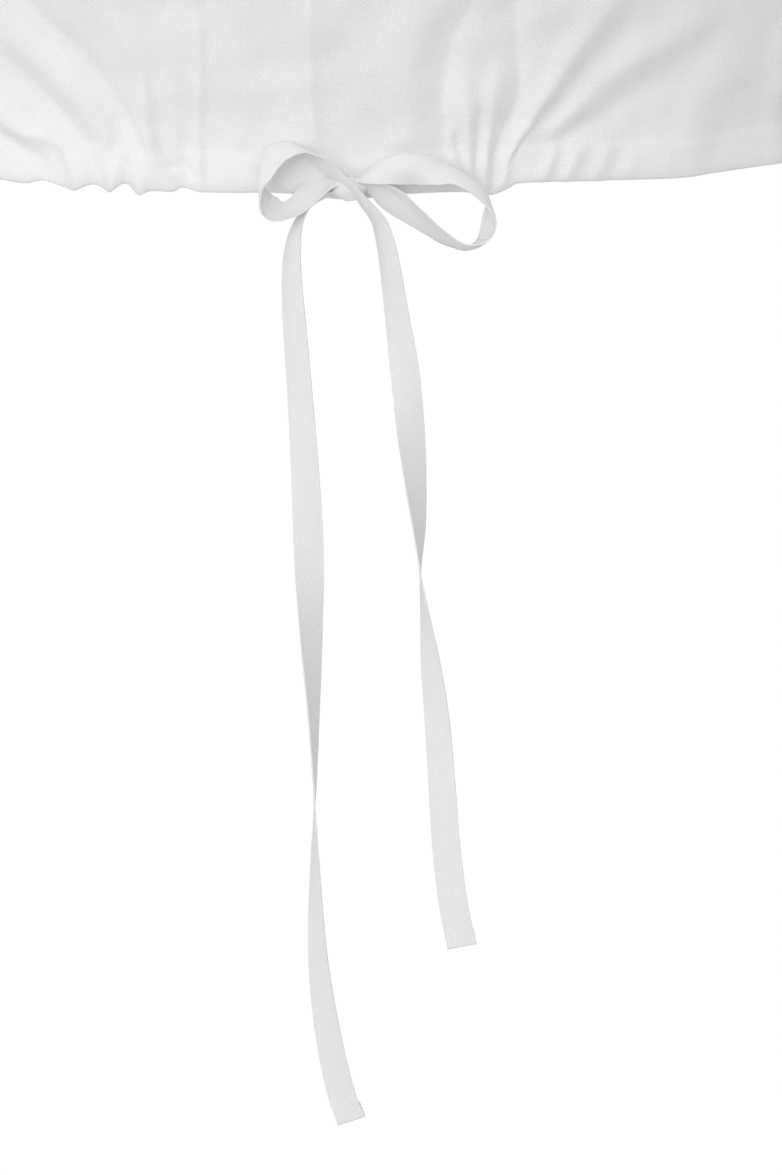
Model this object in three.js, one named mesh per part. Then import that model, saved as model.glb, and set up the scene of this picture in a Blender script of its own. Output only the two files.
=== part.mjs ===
// A white linen dirndl blouse in its worn shape, hollow: short puff sleeves, a wide round neck with a
// narrow band, and a drawstring hem whose flat tape is tied in a bow at the front with two long tails.
// Millimetres, +Z up. The front faces -Y. The origin lies midway between the shoulders, level with the
// points where the shoulder seams meet the neck.
import * as THREE from "three";

// ---------- Driving sizes ----------
const WALL = 1.5; // cloth
const SEAM = 0.3; // clearance between two pieces that are sewn together
const HEM_Z = -385; // lower edge of the hem at centre front
const CASING = { height: 14, bulge: 0.7, wall: 2.9 }; // turned-up hem that the tape runs in
const NECK = { halfWidth: 95, frontDrop: 165, backDrop: 75, curve: 2.6, roundness: 0.8 };
const NECKBAND = { height: 9, proud: 0.5 };
const SHOULDER = { fall: 0.314, ridge: 110, ridgePower: 0.6 }; // slope, and how far down it rounds over
const UNDERARM_Z = -190;
const CUFF = { x: 240, y: -5, z: -232, radius: 47, height: 16, wall: 2.4, lean: 27 }; // lean in degrees
const TAPE = { width: 10, thick: 1 };
const KNOT = { x: 0.6, h: 3.7, out: 5.6, wide: 4.2, deep: 2.6, high: 3.2 }; // half-sizes of the knot
const FREE_ROWS_FROM = 170; // height above the hem where rows stop being level

// Outline of the body at each height: half its width, and how far it reaches forward and back.
const BODY_SECTIONS = [
  { z: -385, halfWidth: 166, front: 111, back: 104 },
  { z: -371, halfWidth: 166, front: 112, back: 105 },
  { z: -345, halfWidth: 170, front: 119, back: 109 },
  { z: -300, halfWidth: 173, front: 133, back: 112 },
  { z: -245, halfWidth: 172, front: 141, back: 111 },
  { z: -190, halfWidth: 169, front: 133, back: 108 },
  { z: -120, halfWidth: 168, front: 116, back: 103 },
  { z: -60, halfWidth: 168, front: 106, back: 97 },
  { z: 20, halfWidth: 168, front: 100, back: 92 },
];
// How far round from centre front, in degrees, a panel reaches at each height of the armhole.
const ARMHOLE = [
  { z: -190, reach: 90 },
  { z: -186, reach: 84.5 },
  { z: -178, reach: 80.5 },
  { z: -160, reach: 74.5 },
  { z: -130, reach: 67 },
  { z: -100, reach: 63.5 },
  { z: -70, reach: 65 },
  { z: -45, reach: 70 },
  { z: -30, reach: 75 },
  { z: -22, reach: 79 },
];
const BUST = { x: 78, z: -238, spread: 62, lift: 9 };
const FOLD_FADE = { from: 150, to: 210 }; // heights above the hem between which the folds die away
const FLAT_SIDE = { share: 0.86, keep: 0.2 }; // near the side seams only this much of a fold is left

// The sleeve leaves the armhole and reaches the cuff along these directions, and its puff comes from how
// far the curve's handles reach there: the most at the head of the sleeve, the least under the arm.
const PUFF = {
  leave: { across: 0.8, round: 0.6, under: 16, head: 62 },
  arrive: { round: 0.85, down: 0.53, under: 20, head: 58 },
};
const SLEEVE_GATHERS = {
  head: { lift: 2.5, count: 15 },
  foot: { lift: 2.3, count: 13 },
  sway: 0.11, // how unevenly they are spaced, in radians
};

// Folds of the front: from (x0, h0) to (x1, h1), x across and h above the hem; half-widths w0 and w1 at
// the two ends; lift is the height of the ridge, or the depth of the trough where it is negative.
const FRONT_FOLDS = [
  { x0: -68, h0: 13, x1: -128, h1: 96, w0: 4, w1: 13, lift: 3.4, bow: -4 },
  { x0: -76, h0: 14, x1: -140, h1: 70, w0: 3, w1: 9, lift: -2.9, bow: -2 },
  { x0: -84, h0: 9, x1: -142, h1: 50, w0: 3, w1: 8, lift: 2.7, bow: -1 },
  { x0: -92, h0: 8, x1: -146, h1: 30, w0: 3, w1: 6, lift: -2.1, bow: 0 },
  { x0: -66, h0: 9, x1: -76, h1: 58, w0: 2.4, w1: 6, lift: 2.2, bow: 2 },
  { x0: -72, h0: 12, x1: -92, h1: 60, w0: 2.4, w1: 7, lift: -2.1, bow: 1 },
  { x0: -60, h0: 4, x1: -62, h1: 74, w0: 3, w1: 8, lift: -2.4, bow: 2 },
  { x0: -52, h0: 4, x1: -54, h1: 92, w0: 2.6, w1: 8, lift: 2.1, bow: 0 },
  { x0: -16, h0: 22, x1: -15, h1: 150, w0: 6, w1: 11, lift: 2.1, bow: 0 },
  { x0: -5, h0: 22, x1: -4, h1: 150, w0: 4, w1: 12, lift: -2.2, bow: 0 },
  { x0: 30, h0: 12, x1: 46, h1: 96, w0: 4, w1: 9, lift: -2.9, bow: -3 },
  { x0: 36, h0: 8, x1: 54, h1: 90, w0: 2.6, w1: 7, lift: 2.1, bow: -2 },
  { x0: 49, h0: 5, x1: 60, h1: 82, w0: 2.8, w1: 6, lift: -2.7, bow: 4 },
  { x0: 52, h0: 8, x1: 92, h1: 100, w0: 3, w1: 10, lift: 3.2, bow: 5 },
  { x0: 61, h0: 13, x1: 118, h1: 84, w0: 3.4, w1: 9, lift: -3.2, bow: 4 },
  { x0: 62, h0: 13, x1: 130, h1: 72, w0: 3, w1: 9, lift: 2.4, bow: 2 },
  { x0: 65, h0: 12, x1: 136, h1: 56, w0: 3.4, w1: 9, lift: -2.9, bow: 1 },
];
// Bunches of small gathers on the casing: where, how wide, and the distance from gather to gather.
const FRONT_BUNCHES = [
  { x: -74, spread: 24, pitch: 8.8, lift: 1.1, lean: -0.35, fade: 34 },
  { x: 56, spread: 22, pitch: 7.6, lift: 1, lean: 0.35, fade: 34 },
];
const BACK_BUNCHES = [
  { x: -70, spread: 60, pitch: 27, lift: 2.3, lean: 0.1, fade: 120 },
  { x: 66, spread: 60, pitch: 29, lift: 2.4, lean: -0.1, fade: 110 },
];
// How far the hem's edge hangs below level, scalloped where the gathers pull it up.
const FRONT_HEM = [
  { x: -166, drop: 0 },
  { x: -117, drop: -0.7 },
  { x: -108, drop: 0 },
  { x: -102, drop: -1.3 },
  { x: -92, drop: 1.4 },
  { x: -85.5, drop: -0.9 },
  { x: -80, drop: 1.5 },
  { x: -75, drop: -1.6 },
  { x: -70, drop: 1.8 },
  { x: -66.5, drop: 0.5 },
  { x: -58.5, drop: 0.4 },
  { x: -56, drop: -1 },
  { x: -49, drop: 0.3 },
  { x: -30, drop: 0.2 },
  { x: -14, drop: 0.6 },
  { x: -4, drop: 2 },
  { x: 5, drop: 1.9 },
  { x: 14, drop: 0.5 },
  { x: 40, drop: 0.3 },
  { x: 46.5, drop: 1.5 },
  { x: 51, drop: 0 },
  { x: 56, drop: -2.4 },
  { x: 80, drop: -2.3 },
  { x: 110, drop: -1.9 },
  { x: 143, drop: -3.2 },
  { x: 166, drop: -3.4 },
];
const BACK_HEM = [
  { x: -166, drop: 0 },
  { x: -70, drop: 1.2 },
  { x: 10, drop: 0.2 },
  { x: 84, drop: -0.6 },
  { x: 166, drop: -3.4 },
];

// ---------- Small helpers ----------
const degrees = THREE.MathUtils.degToRad;
const mix = THREE.MathUtils.lerp;
const step = THREE.MathUtils.smoothstep;
const bell = (distance, width) => Math.exp(-((distance / width) ** 2));

// A smooth value from a table, by Hermite curves through its rows.
function read(rows, at, value, column) {
  const last = rows.length - 1;
  if (value <= rows[0][at]) return rows[0][column];
  if (value >= rows[last][at]) return rows[last][column];
  const i = rows.findIndex((row, k) => k < last && value <= rows[k + 1][at]);
  const slope = (k) => {
    const a = rows[Math.max(k - 1, 0)];
    const b = rows[Math.min(k + 1, last)];
    return (b[column] - a[column]) / (b[at] - a[at]);
  };
  const gap = rows[i + 1][at] - rows[i][at];
  const t = (value - rows[i][at]) / gap;
  return (
    rows[i][column] * (1 + 2 * t) * (1 - t) ** 2 +
    slope(i) * gap * t * (1 - t) ** 2 +
    rows[i + 1][column] * t * t * (3 - 2 * t) -
    slope(i + 1) * gap * t * t * (1 - t)
  );
}

// Joins an outer and an inner grid of points into one closed wall. Columns run so that column x row
// points outwards; round walls close on themselves from the last column to the first.
function wall(outer, inner, round) {
  const rows = outer.length;
  const columns = outer[0].length;
  const points = [...outer.flat(), ...inner.flat()];
  const at = (layer, i, j) => layer * rows * columns + i * columns + (j % columns);
  const faces = [];
  const quad = (a, b, c, d) => faces.push(a, b, c, a, c, d);
  const spans = round ? columns : columns - 1;
  for (let j = 0; j < spans; j++) {
    for (let i = 0; i < rows - 1; i++) {
      quad(at(0, i, j), at(0, i, j + 1), at(0, i + 1, j + 1), at(0, i + 1, j));
      quad(at(1, i, j), at(1, i + 1, j), at(1, i + 1, j + 1), at(1, i, j + 1));
    }
    quad(at(0, 0, j), at(1, 0, j), at(1, 0, j + 1), at(0, 0, j + 1));
    const top = rows - 1;
    quad(at(0, top, j), at(0, top, j + 1), at(1, top, j + 1), at(1, top, j));
  }
  for (let i = 0; !round && i < rows - 1; i++) {
    const end = columns - 1;
    quad(at(0, i, 0), at(0, i + 1, 0), at(1, i + 1, 0), at(1, i, 0));
    quad(at(0, i, end), at(1, i, end), at(1, i + 1, end), at(0, i + 1, end));
  }
  return new THREE.BufferGeometry().setFromPoints(points).setIndex(faces);
}

// The same wall on the other side of the body.
function mirrored(geometry) {
  const copy = geometry.clone().applyMatrix4(new THREE.Matrix4().makeScale(-1, 1, 1));
  const index = copy.index.array;
  for (let i = 0; i < index.length; i += 3) [index[i + 1], index[i + 2]] = [index[i + 2], index[i + 1]];
  return copy;
}

// ---------- Body: the plain form ----------
const shoulderLine = (x) => -(Math.abs(x) - NECK.halfWidth) * SHOULDER.fall;

// Degrees round from centre front or back, for a share s of the panel's half at height z.
function angleOf(s, z) {
  const reach = read(ARMHOLE, "z", z, "reach");
  return 90 * s - (90 - reach) * s * Math.abs(s);
}

// A point of the body's plain form. side is -1 on the front and 1 on the back.
function bodyPoint(side, s, z) {
  const angle = degrees(angleOf(s, z));
  const x = read(BODY_SECTIONS, "z", z, "halfWidth") * Math.sin(angle);
  const below = Math.min(Math.max(shoulderLine(x) - z, 0) / SHOULDER.ridge, 1);
  const roundOver = (1 - (1 - below) ** 2) ** SHOULDER.ridgePower;
  const depth = read(BODY_SECTIONS, "z", z, side < 0 ? "front" : "back") * roundOver;
  const aside = Math.hypot(Math.abs(x) - BUST.x, z - BUST.z);
  const cups = side < 0 ? BUST.lift * bell(aside, BUST.spread) : 0;
  return new THREE.Vector3(x, side * (SEAM / 2 + (depth + cups) * Math.cos(angle)), z);
}

function bodyNormal(side, s, z) {
  const nudge = 0.002;
  const across = bodyPoint(side, s + nudge, z).sub(bodyPoint(side, s - nudge, z));
  const up = bodyPoint(side, s, z).sub(bodyPoint(side, s, z - 5 * nudge));
  return across.cross(up).multiplyScalar(-side).normalize();
}

// Share of the panel's half at which the shoulder seam meets the neck.
const NECK_SHARE = (() => {
  let [low, high] = [0, 1];
  for (let n = 0; n < 40; n++) {
    const s = (low + high) / 2;
    if (bodyPoint(1, s, 0).x < NECK.halfWidth) low = s;
    else high = s;
  }
  return low;
})();

// Height of a panel's upper edge: the neckline in the middle and the shoulder seam beyond it.
function topOf(side, s) {
  const q = Math.abs(s) / NECK_SHARE;
  const drop = side < 0 ? NECK.frontDrop : NECK.backDrop;
  if (q < 1) return -drop * (1 - q ** NECK.curve) ** NECK.roundness;
  let z = -10;
  for (let n = 0; n < 30; n++) z = shoulderLine(bodyPoint(side, s, z).x);
  return z;
}

// ---------- Body: folds and gathers ----------
function foldLift(fold, x, h) {
  const run = new THREE.Vector2(fold.x1 - fold.x0, fold.h1 - fold.h0);
  const offset = new THREE.Vector2(x - fold.x0, h - fold.h0);
  const share = offset.dot(run) / run.lengthSq();
  const t = THREE.MathUtils.clamp(share, 0, 1);
  const beyond = (share - t) * run.length();
  const aside = offset.cross(run) / run.length() - fold.bow * 4 * t * (1 - t);
  const width = mix(fold.w0, fold.w1, t);
  const swell = mix(0.45, 1, step(t, 0, 0.3)) * (1 - step(t, 0.45, 1));
  return fold.lift * swell * bell(Math.hypot(aside, beyond), width);
}

function bunchLift(bunch, x, h) {
  const from = x - bunch.x - bunch.lean * h;
  const wave = Math.cos((2 * Math.PI * from) / bunch.pitch);
  return bunch.lift * wave * bell(from, bunch.spread) * (1 - step(h, bunch.fade * 0.35, bunch.fade));
}

// How far the cloth stands out from the plain form at x, h above the hem.
function clothLift(side, x, h, s, z) {
  const folds = side < 0 ? FRONT_FOLDS : [];
  const bunches = side < 0 ? FRONT_BUNCHES : BACK_BUNCHES;
  let lift = 0;
  for (const fold of folds) lift += foldLift(fold, x, h);
  for (const bunch of bunches) lift += bunchLift(bunch, x, h);
  const nearSide = step(Math.abs(s), FLAT_SIDE.share, 1);
  const atArmhole = nearSide * step(z, UNDERARM_Z - 30, UNDERARM_Z);
  const below = 1 - step(h, FOLD_FADE.from, FOLD_FADE.to);
  return lift * below * (1 - atArmhole) * mix(1, FLAT_SIDE.keep, nearSide);
}

const casingShare = (h) => step(h, -1, 4) * (1 - step(h, CASING.height - 2, CASING.height + 1));

// ---------- Body panels ----------
// Rows level with the hem up to the bust, then shares of the way from there to the upper edge. The first
// share lands on the underarm at the side seam.
const LEVEL_ROWS = [0, 3, 7.5, 12, 15, 20, 27, 36, 48, 63, 84, 110, 140, FREE_ROWS_FROM];
const FREE_ROWS_Z = HEM_Z + FREE_ROWS_FROM;
const UNDERARM_SHARE = (UNDERARM_Z - FREE_ROWS_Z) / (ARMHOLE.at(-1).z - FREE_ROWS_Z);
const FREE_ROWS = [UNDERARM_SHARE, 0.22, 0.35, 0.49, 0.63, 0.76, 0.87, 0.95, 1];
const BACK_LEVEL_ROWS = [0, 7.5, 13, 22, 40, 65, 100, FREE_ROWS_FROM];

function rowHeights(side, s) {
  const level = side < 0 ? LEVEL_ROWS : BACK_LEVEL_ROWS;
  const free = topOf(side, s) - FREE_ROWS_Z;
  return [...level, ...FREE_ROWS.map((share) => FREE_ROWS_FROM + share * free)];
}

// Shares across a panel from points given in millimetres across at the hem, with finer spacing in bunches.
function columnShares(stretches) {
  const shares = [];
  for (const { from, to, count } of stretches) {
    for (let k = 0; k < count; k++) shares.push(mix(from, to, k / count));
  }
  shares.push(stretches.at(-1).to);
  return shares;
}
const shareAcross = (x) => Math.asin(x / BODY_SECTIONS[0].halfWidth) / (Math.PI / 2);
const FRONT_COLUMNS = columnShares([
  { from: -1, to: -NECK_SHARE, count: 8 },
  { from: -NECK_SHARE, to: shareAcross(-86), count: 2 },
  { from: shareAcross(-86), to: shareAcross(-50), count: 14 },
  { from: shareAcross(-50), to: shareAcross(28), count: 9 },
  { from: shareAcross(28), to: shareAcross(76), count: 18 },
  { from: shareAcross(76), to: NECK_SHARE, count: 3 },
  { from: NECK_SHARE, to: 1, count: 8 },
]);
const BACK_COLUMNS = columnShares([
  { from: -1, to: -NECK_SHARE, count: 11 },
  { from: -NECK_SHARE, to: NECK_SHARE, count: 22 },
  { from: NECK_SHARE, to: 1, count: 11 },
]);

function hemDroop(side, x, h) {
  const drop = read(side < 0 ? FRONT_HEM : BACK_HEM, "x", x, "drop");
  return drop * (1 - step(h, 0, 3 * CASING.height));
}

function panel(side, shares) {
  const heights = shares.map((s) => rowHeights(side, s));
  const grid = (layer) =>
    heights[0].map((_, i) =>
      shares.map((s, j) => {
        const h = heights[j][i];
        const z = HEM_Z + h;
        const point = bodyPoint(side, s, z);
        const normal = bodyNormal(side, s, z);
        const onSideSeam = Math.abs(s) === 1 && z <= UNDERARM_Z + 0.01;
        const onShoulderSeam = i === heights[j].length - 1 && Math.abs(s) > NECK_SHARE - 0.001;
        if (onSideSeam || onShoulderSeam) normal.setY(0).normalize();
        const casing = casingShare(h);
        const lift = clothLift(side, point.x, h, s, z) + CASING.bulge * casing;
        const depth = layer * mix(WALL, CASING.wall, casing);
        point.z -= hemDroop(side, point.x, h);
        return point.addScaledVector(normal, lift - depth);
      }),
    );
  return wall(grid(0), grid(1), false);
}

// ---------- Neckband ----------
// The neckline all the way round, from the wearer's right shoulder across the front and back again.
function necklinePoints(side, shares) {
  const inside = shares.filter((s) => Math.abs(s) < NECK_SHARE - 1e-6);
  return inside.map((s) => {
    const z = topOf(side, s);
    return { point: bodyPoint(side, s, z), normal: bodyNormal(side, s, z) };
  });
}

// The point where a shoulder seam meets the neck: side is -1 on the wearer's right and 1 on the left.
function neckCorner(side) {
  const normal = bodyNormal(-1, side * NECK_SHARE, 0);
  return { point: new THREE.Vector3(side * NECK.halfWidth, 0, 0), normal: normal.setY(0).normalize() };
}

function neckband() {
  const line = [
    neckCorner(-1),
    ...necklinePoints(-1, FRONT_COLUMNS),
    neckCorner(1),
    ...necklinePoints(1, [...BACK_COLUMNS].reverse()),
  ];
  const count = line.length;
  const place = (j, along, out) => {
    const { point, normal } = line[j];
    const ahead = line[(j + 1) % count].point.clone().sub(line[(j + count - 1) % count].point);
    const upward = normal.clone().cross(ahead).normalize();
    return point.clone().addScaledVector(upward, along).addScaledVector(normal, out);
  };
  const rows = [SEAM, SEAM + NECKBAND.height / 2, SEAM + NECKBAND.height];
  const ring = (out) => rows.map((along) => line.map((_, j) => place(j, along, out)));
  return wall(ring(NECKBAND.proud), ring(-WALL - NECKBAND.proud), true);
}

// ---------- Sleeves and cuffs ----------
const SLEEVE_GAP = SEAM + 0.1; // the armhole's edge is faceted, so the sleeve stands off a little more
const SLEEVE_COLUMNS = 48;
const CUFF_SIDES = 32;
const SLEEVE_ROWS = [0, 0.06, 0.14, 0.25, 0.38, 0.52, 0.66, 0.79, 0.9, 0.965, 1];
const lean = degrees(CUFF.lean);
const armAxis = new THREE.Vector3(Math.sin(lean), 0, -Math.cos(lean));
const armOutward = new THREE.Vector3(Math.cos(lean), 0, Math.sin(lean));
const forward = new THREE.Vector3(0, -1, 0);
const cuffCentre = new THREE.Vector3(CUFF.x, CUFF.y, CUFF.z);

// The armhole's edge, from the shoulder down the front and up the back, with evenly spaced points.
function armholeRing() {
  const heights = (side) => rowHeights(side, 1).slice(-FREE_ROWS.length);
  const edge = (side) => heights(side).map((h) => bodyPoint(side, 1, HEM_Z + h));
  const line = [...edge(-1).reverse(), ...edge(1)];
  line.push(line[0].clone());
  const lengths = [0];
  for (let k = 1; k < line.length; k++) lengths.push(lengths[k - 1] + line[k].distanceTo(line[k - 1]));
  return Array.from({ length: SLEEVE_COLUMNS }, (_, j) => {
    const along = (lengths.at(-1) * j) / SLEEVE_COLUMNS;
    const k = lengths.findIndex((length, n) => n > 0 && length >= along);
    const t = (along - lengths[k - 1]) / (lengths[k] - lengths[k - 1]);
    return line[k - 1].clone().lerp(line[k], t);
  });
}

// A point of the sleeve: turn goes round it from the shoulder towards the front, and v runs from 0 at
// the armhole to 1 at the cuff.
function sleevePoint(start, centre, turn, v) {
  const { leave, arrive } = PUFF;
  const top = (1 + Math.cos(turn)) / 2;
  const radial = start.clone().sub(centre).setX(0).normalize();
  const leaving = new THREE.Vector3(leave.across, 0, 0).addScaledVector(radial, leave.round).normalize();
  const round = armOutward.clone().multiplyScalar(Math.cos(turn)).addScaledVector(forward, Math.sin(turn));
  const end = cuffCentre.clone().addScaledVector(round, CUFF.radius - WALL / 2);
  const arriving = round.clone().multiplyScalar(arrive.round).addScaledVector(armAxis, -arrive.down);
  return new THREE.CubicBezierCurve3(
    start,
    start.clone().addScaledVector(leaving, mix(leave.under, leave.head, top)),
    end.clone().addScaledVector(arriving.normalize(), mix(arrive.under, arrive.head, top)),
    end,
  ).getPoint(v);
}

// Gathers fall from the head of the sleeve and rise from the cuff; phase makes the two sleeves differ.
function sleeveLift(turn, v, phase) {
  const { head, foot, sway } = SLEEVE_GATHERS;
  const uneven = turn + sway * Math.sin(3 * turn + phase);
  const overShoulder = step(Math.cos(turn), -0.35, 0.25);
  const headShare = overShoulder * step(v, 0, 0.14) * (1 - step(v, 0.2, 0.62));
  const footShare = step(v, 0.45, 0.86) * (1 - step(v, 0.9, 1));
  const atHead = head.lift * Math.cos(head.count * uneven + phase) * headShare;
  return atHead + foot.lift * Math.cos(foot.count * uneven - phase) * footShare;
}

function sleeve(phase) {
  const ring = armholeRing().map((point) => point.setX(point.x + SLEEVE_GAP));
  const centre = ring.reduce((sum, p) => sum.add(p), new THREE.Vector3()).divideScalar(ring.length);
  const plain = (j, v) => {
    const k = (j + SLEEVE_COLUMNS) % SLEEVE_COLUMNS;
    return sleevePoint(ring[k], centre, (2 * Math.PI * k) / SLEEVE_COLUMNS, v);
  };
  const grid = (depth) =>
    SLEEVE_ROWS.map((v) =>
      ring.map((_, j) => {
        const around = plain(j + 1, v).sub(plain(j - 1, v));
        const along = plain(j, Math.min(v + 0.01, 1)).sub(plain(j, Math.max(v - 0.01, 0)));
        const normal = around.cross(along).normalize();
        const turn = (2 * Math.PI * j) / SLEEVE_COLUMNS;
        const flat = v === 0 ? normal.clone().setX(0).normalize() : normal;
        const rim = v === 1 ? flat.addScaledVector(armAxis, -flat.dot(armAxis)).normalize() : flat;
        return plain(j, v).addScaledVector(rim, sleeveLift(turn, v, phase) - depth);
      }),
    );
  return wall(grid(0), grid(WALL), true);
}

function cuff() {
  const turns = Array.from({ length: CUFF_SIDES }, (_, j) => (2 * Math.PI * j) / CUFF_SIDES);
  const ring = (radius) =>
    [SEAM, SEAM + CUFF.height / 2, SEAM + CUFF.height].map((along) =>
      turns.map((turn) =>
        cuffCentre
          .clone()
          .addScaledVector(armAxis, along)
          .addScaledVector(armOutward, radius * Math.cos(turn))
          .addScaledVector(forward, radius * Math.sin(turn)),
      ),
    );
  return wall(ring(CUFF.radius), ring(CUFF.radius - CUFF.wall), true);
}

// ---------- Drawstring tape ----------
// Stations along the tape: x across and h above the hem, out is how far in front of the hem it lies,
// turn is the angle of its width from level and square to the front, tilt the angle of its width in
// the upright plane, and wide the share of its full width there, which is less where it is pinched.
const LEFT_LOOP = [
  { x: -3.9, h: 6.8, out: 6.2, turn: -56, tilt: 51, wide: 0.6 },
  { x: -7.1, h: 8.6, out: 7, turn: -58, tilt: 51, wide: 0.95 },
  { x: -9.8, h: 11, out: 7.2, turn: -62, tilt: 51, wide: 1 },
  { x: -12.5, h: 13.1, out: 7.2, turn: -74, tilt: 62, wide: 1 },
  { x: -14.9, h: 14.3, out: 7.2, turn: -82, tilt: 81, wide: 1 },
  { x: -18.8, h: 15.2, out: 7.2, turn: -70, tilt: -70, wide: 1 },
  { x: -21.8, h: 14.7, out: 7.2, turn: -61, tilt: -68, wide: 1 },
  { x: -24.5, h: 13.3, out: 7.2, turn: -52, tilt: -58, wide: 1 },
  { x: -26.5, h: 11.1, out: 7.2, turn: -47, tilt: -50, wide: 1 },
  { x: -28.2, h: 6.4, out: 7.6, turn: -64, tilt: -26, wide: 1 },
  { x: -28.7, h: 1.6, out: 8, turn: -82, tilt: -174, wide: 1 },
  { x: -27.2, h: -2.8, out: 8, turn: -48, tilt: -130, wide: 1 },
  { x: -24.8, h: -4.9, out: 8, turn: -47, tilt: -119, wide: 1 },
  { x: -21.6, h: -5, out: 8, turn: -58, tilt: -98, wide: 1 },
  { x: -17.8, h: -3.3, out: 7.6, turn: -54, tilt: -68, wide: 1 },
  { x: -15, h: -0.8, out: 7.2, turn: -46, tilt: -60, wide: 1 },
  { x: -12.5, h: 1.2, out: 6.8, turn: -50, tilt: -58, wide: 0.95 },
  { x: -9.6, h: 2.8, out: 6.5, turn: -57, tilt: -59, wide: 0.85 },
  { x: -5.4, h: 4.1, out: 6, turn: -64, tilt: -40, wide: 0.45 },
];
const RIGHT_LOOP = [
  { x: 5.2, h: 5.4, out: 6.2, turn: -62, tilt: -90, wide: 0.5 },
  { x: 8.6, h: 6.7, out: 6.6, turn: -55, tilt: -70, wide: 0.95 },
  { x: 12.6, h: 7.7, out: 6.8, turn: -41, tilt: -68, wide: 1 },
  { x: 16.7, h: 8.4, out: 7, turn: -19, tilt: -75, wide: 1 },
  { x: 21.2, h: 8.6, out: 7, turn: -6, tilt: -78, wide: 1 },
  { x: 25.4, h: 8.2, out: 7, turn: -16, tilt: -81, wide: 1 },
  { x: 29.3, h: 7.4, out: 7.2, turn: -39, tilt: -83, wide: 1 },
  { x: 33.1, h: 6.8, out: 7.4, turn: -58, tilt: -90, wide: 1 },
  { x: 36.5, h: 5.6, out: 7.6, turn: -67, tilt: -114, wide: 1 },
  { x: 42.1, h: 1.9, out: 8, turn: -71, tilt: -152, wide: 1 },
  { x: 44.9, h: -1.8, out: 8.2, turn: -80, tilt: 170, wide: 1 },
  { x: 46.1, h: -6, out: 8.4, turn: -71, tilt: 24, wide: 1 },
  { x: 46.2, h: -9.8, out: 8.2, turn: -59, tilt: 8, wide: 1 },
  { x: 44.4, h: -13.9, out: 8, turn: -64, tilt: 8, wide: 1 },
  { x: 41.4, h: -16.2, out: 8, turn: -80, tilt: 40, wide: 1 },
  { x: 37.4, h: -16.9, out: 7.9, turn: -72, tilt: 88, wide: 1 },
  { x: 31.8, h: -14.6, out: 7.6, turn: -61, tilt: 73, wide: 1 },
  { x: 27.4, h: -11.6, out: 7.4, turn: -55, tilt: 65, wide: 1 },
  { x: 21.2, h: -7, out: 7.2, turn: -42, tilt: 62, wide: 1 },
  { x: 15.6, h: -2.8, out: 7.1, turn: -29, tilt: 60, wide: 1 },
  { x: 10.4, h: 0.6, out: 7.1, turn: -32, tilt: 56, wide: 0.85 },
  { x: 6, h: 2.2, out: 6.8, turn: -46, tilt: 50, wide: 0.45 },
];
const LEFT_TAIL = [
  { x: -4.4, h: 0.6, out: 4.4, turn: -60, tilt: 44, wide: 0.5 },
  { x: -7.6, h: -0.5, out: 4.2, turn: -64, tilt: 52, wide: 0.8 },
  { x: -11.3, h: -2.8, out: 4.2, turn: -64, tilt: 52, wide: 1 },
  { x: -14.6, h: -5.8, out: 4.4, turn: -64, tilt: 48, wide: 1 },
  { x: -17, h: -9.6, out: 4.8, turn: -64, tilt: 34, wide: 1 },
  { x: -18.6, h: -15.3, out: 5.2, turn: -62, tilt: 14, wide: 1 },
  { x: -19.4, h: -25, out: 5.6, turn: -52, tilt: 0, wide: 1 },
  { x: -18.6, h: -42, out: 6, turn: -41, tilt: 3, wide: 1 },
  { x: -16.8, h: -66, out: 6, turn: -34, tilt: 4, wide: 1 },
  { x: -15.1, h: -92, out: 6, turn: -22, tilt: 3, wide: 1 },
  { x: -13.7, h: -122, out: 6, turn: 4, tilt: 3, wide: 1 },
  { x: -13, h: -149, out: 6, turn: 43, tilt: 2, wide: 1 },
  { x: -12.2, h: -176, out: 6, turn: 69, tilt: 1, wide: 1 },
  { x: -11.8, h: -203, out: 5.4, turn: 88, tilt: 0, wide: 1 },
  { x: -11.7, h: -231, out: 3, turn: 110, tilt: 0, wide: 1 },
  { x: -10.8, h: -259, out: -1, turn: 130, tilt: 4, wide: 1 },
  { x: -7.8, h: -284, out: -5, turn: 148, tilt: 10, wide: 1 },
  { x: -3.2, h: -306.5, out: -7.6, turn: 161, tilt: 12, wide: 1 },
  { x: 0.2, h: -315.8, out: -8, turn: 168, tilt: 12, wide: 1 },
];
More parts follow.
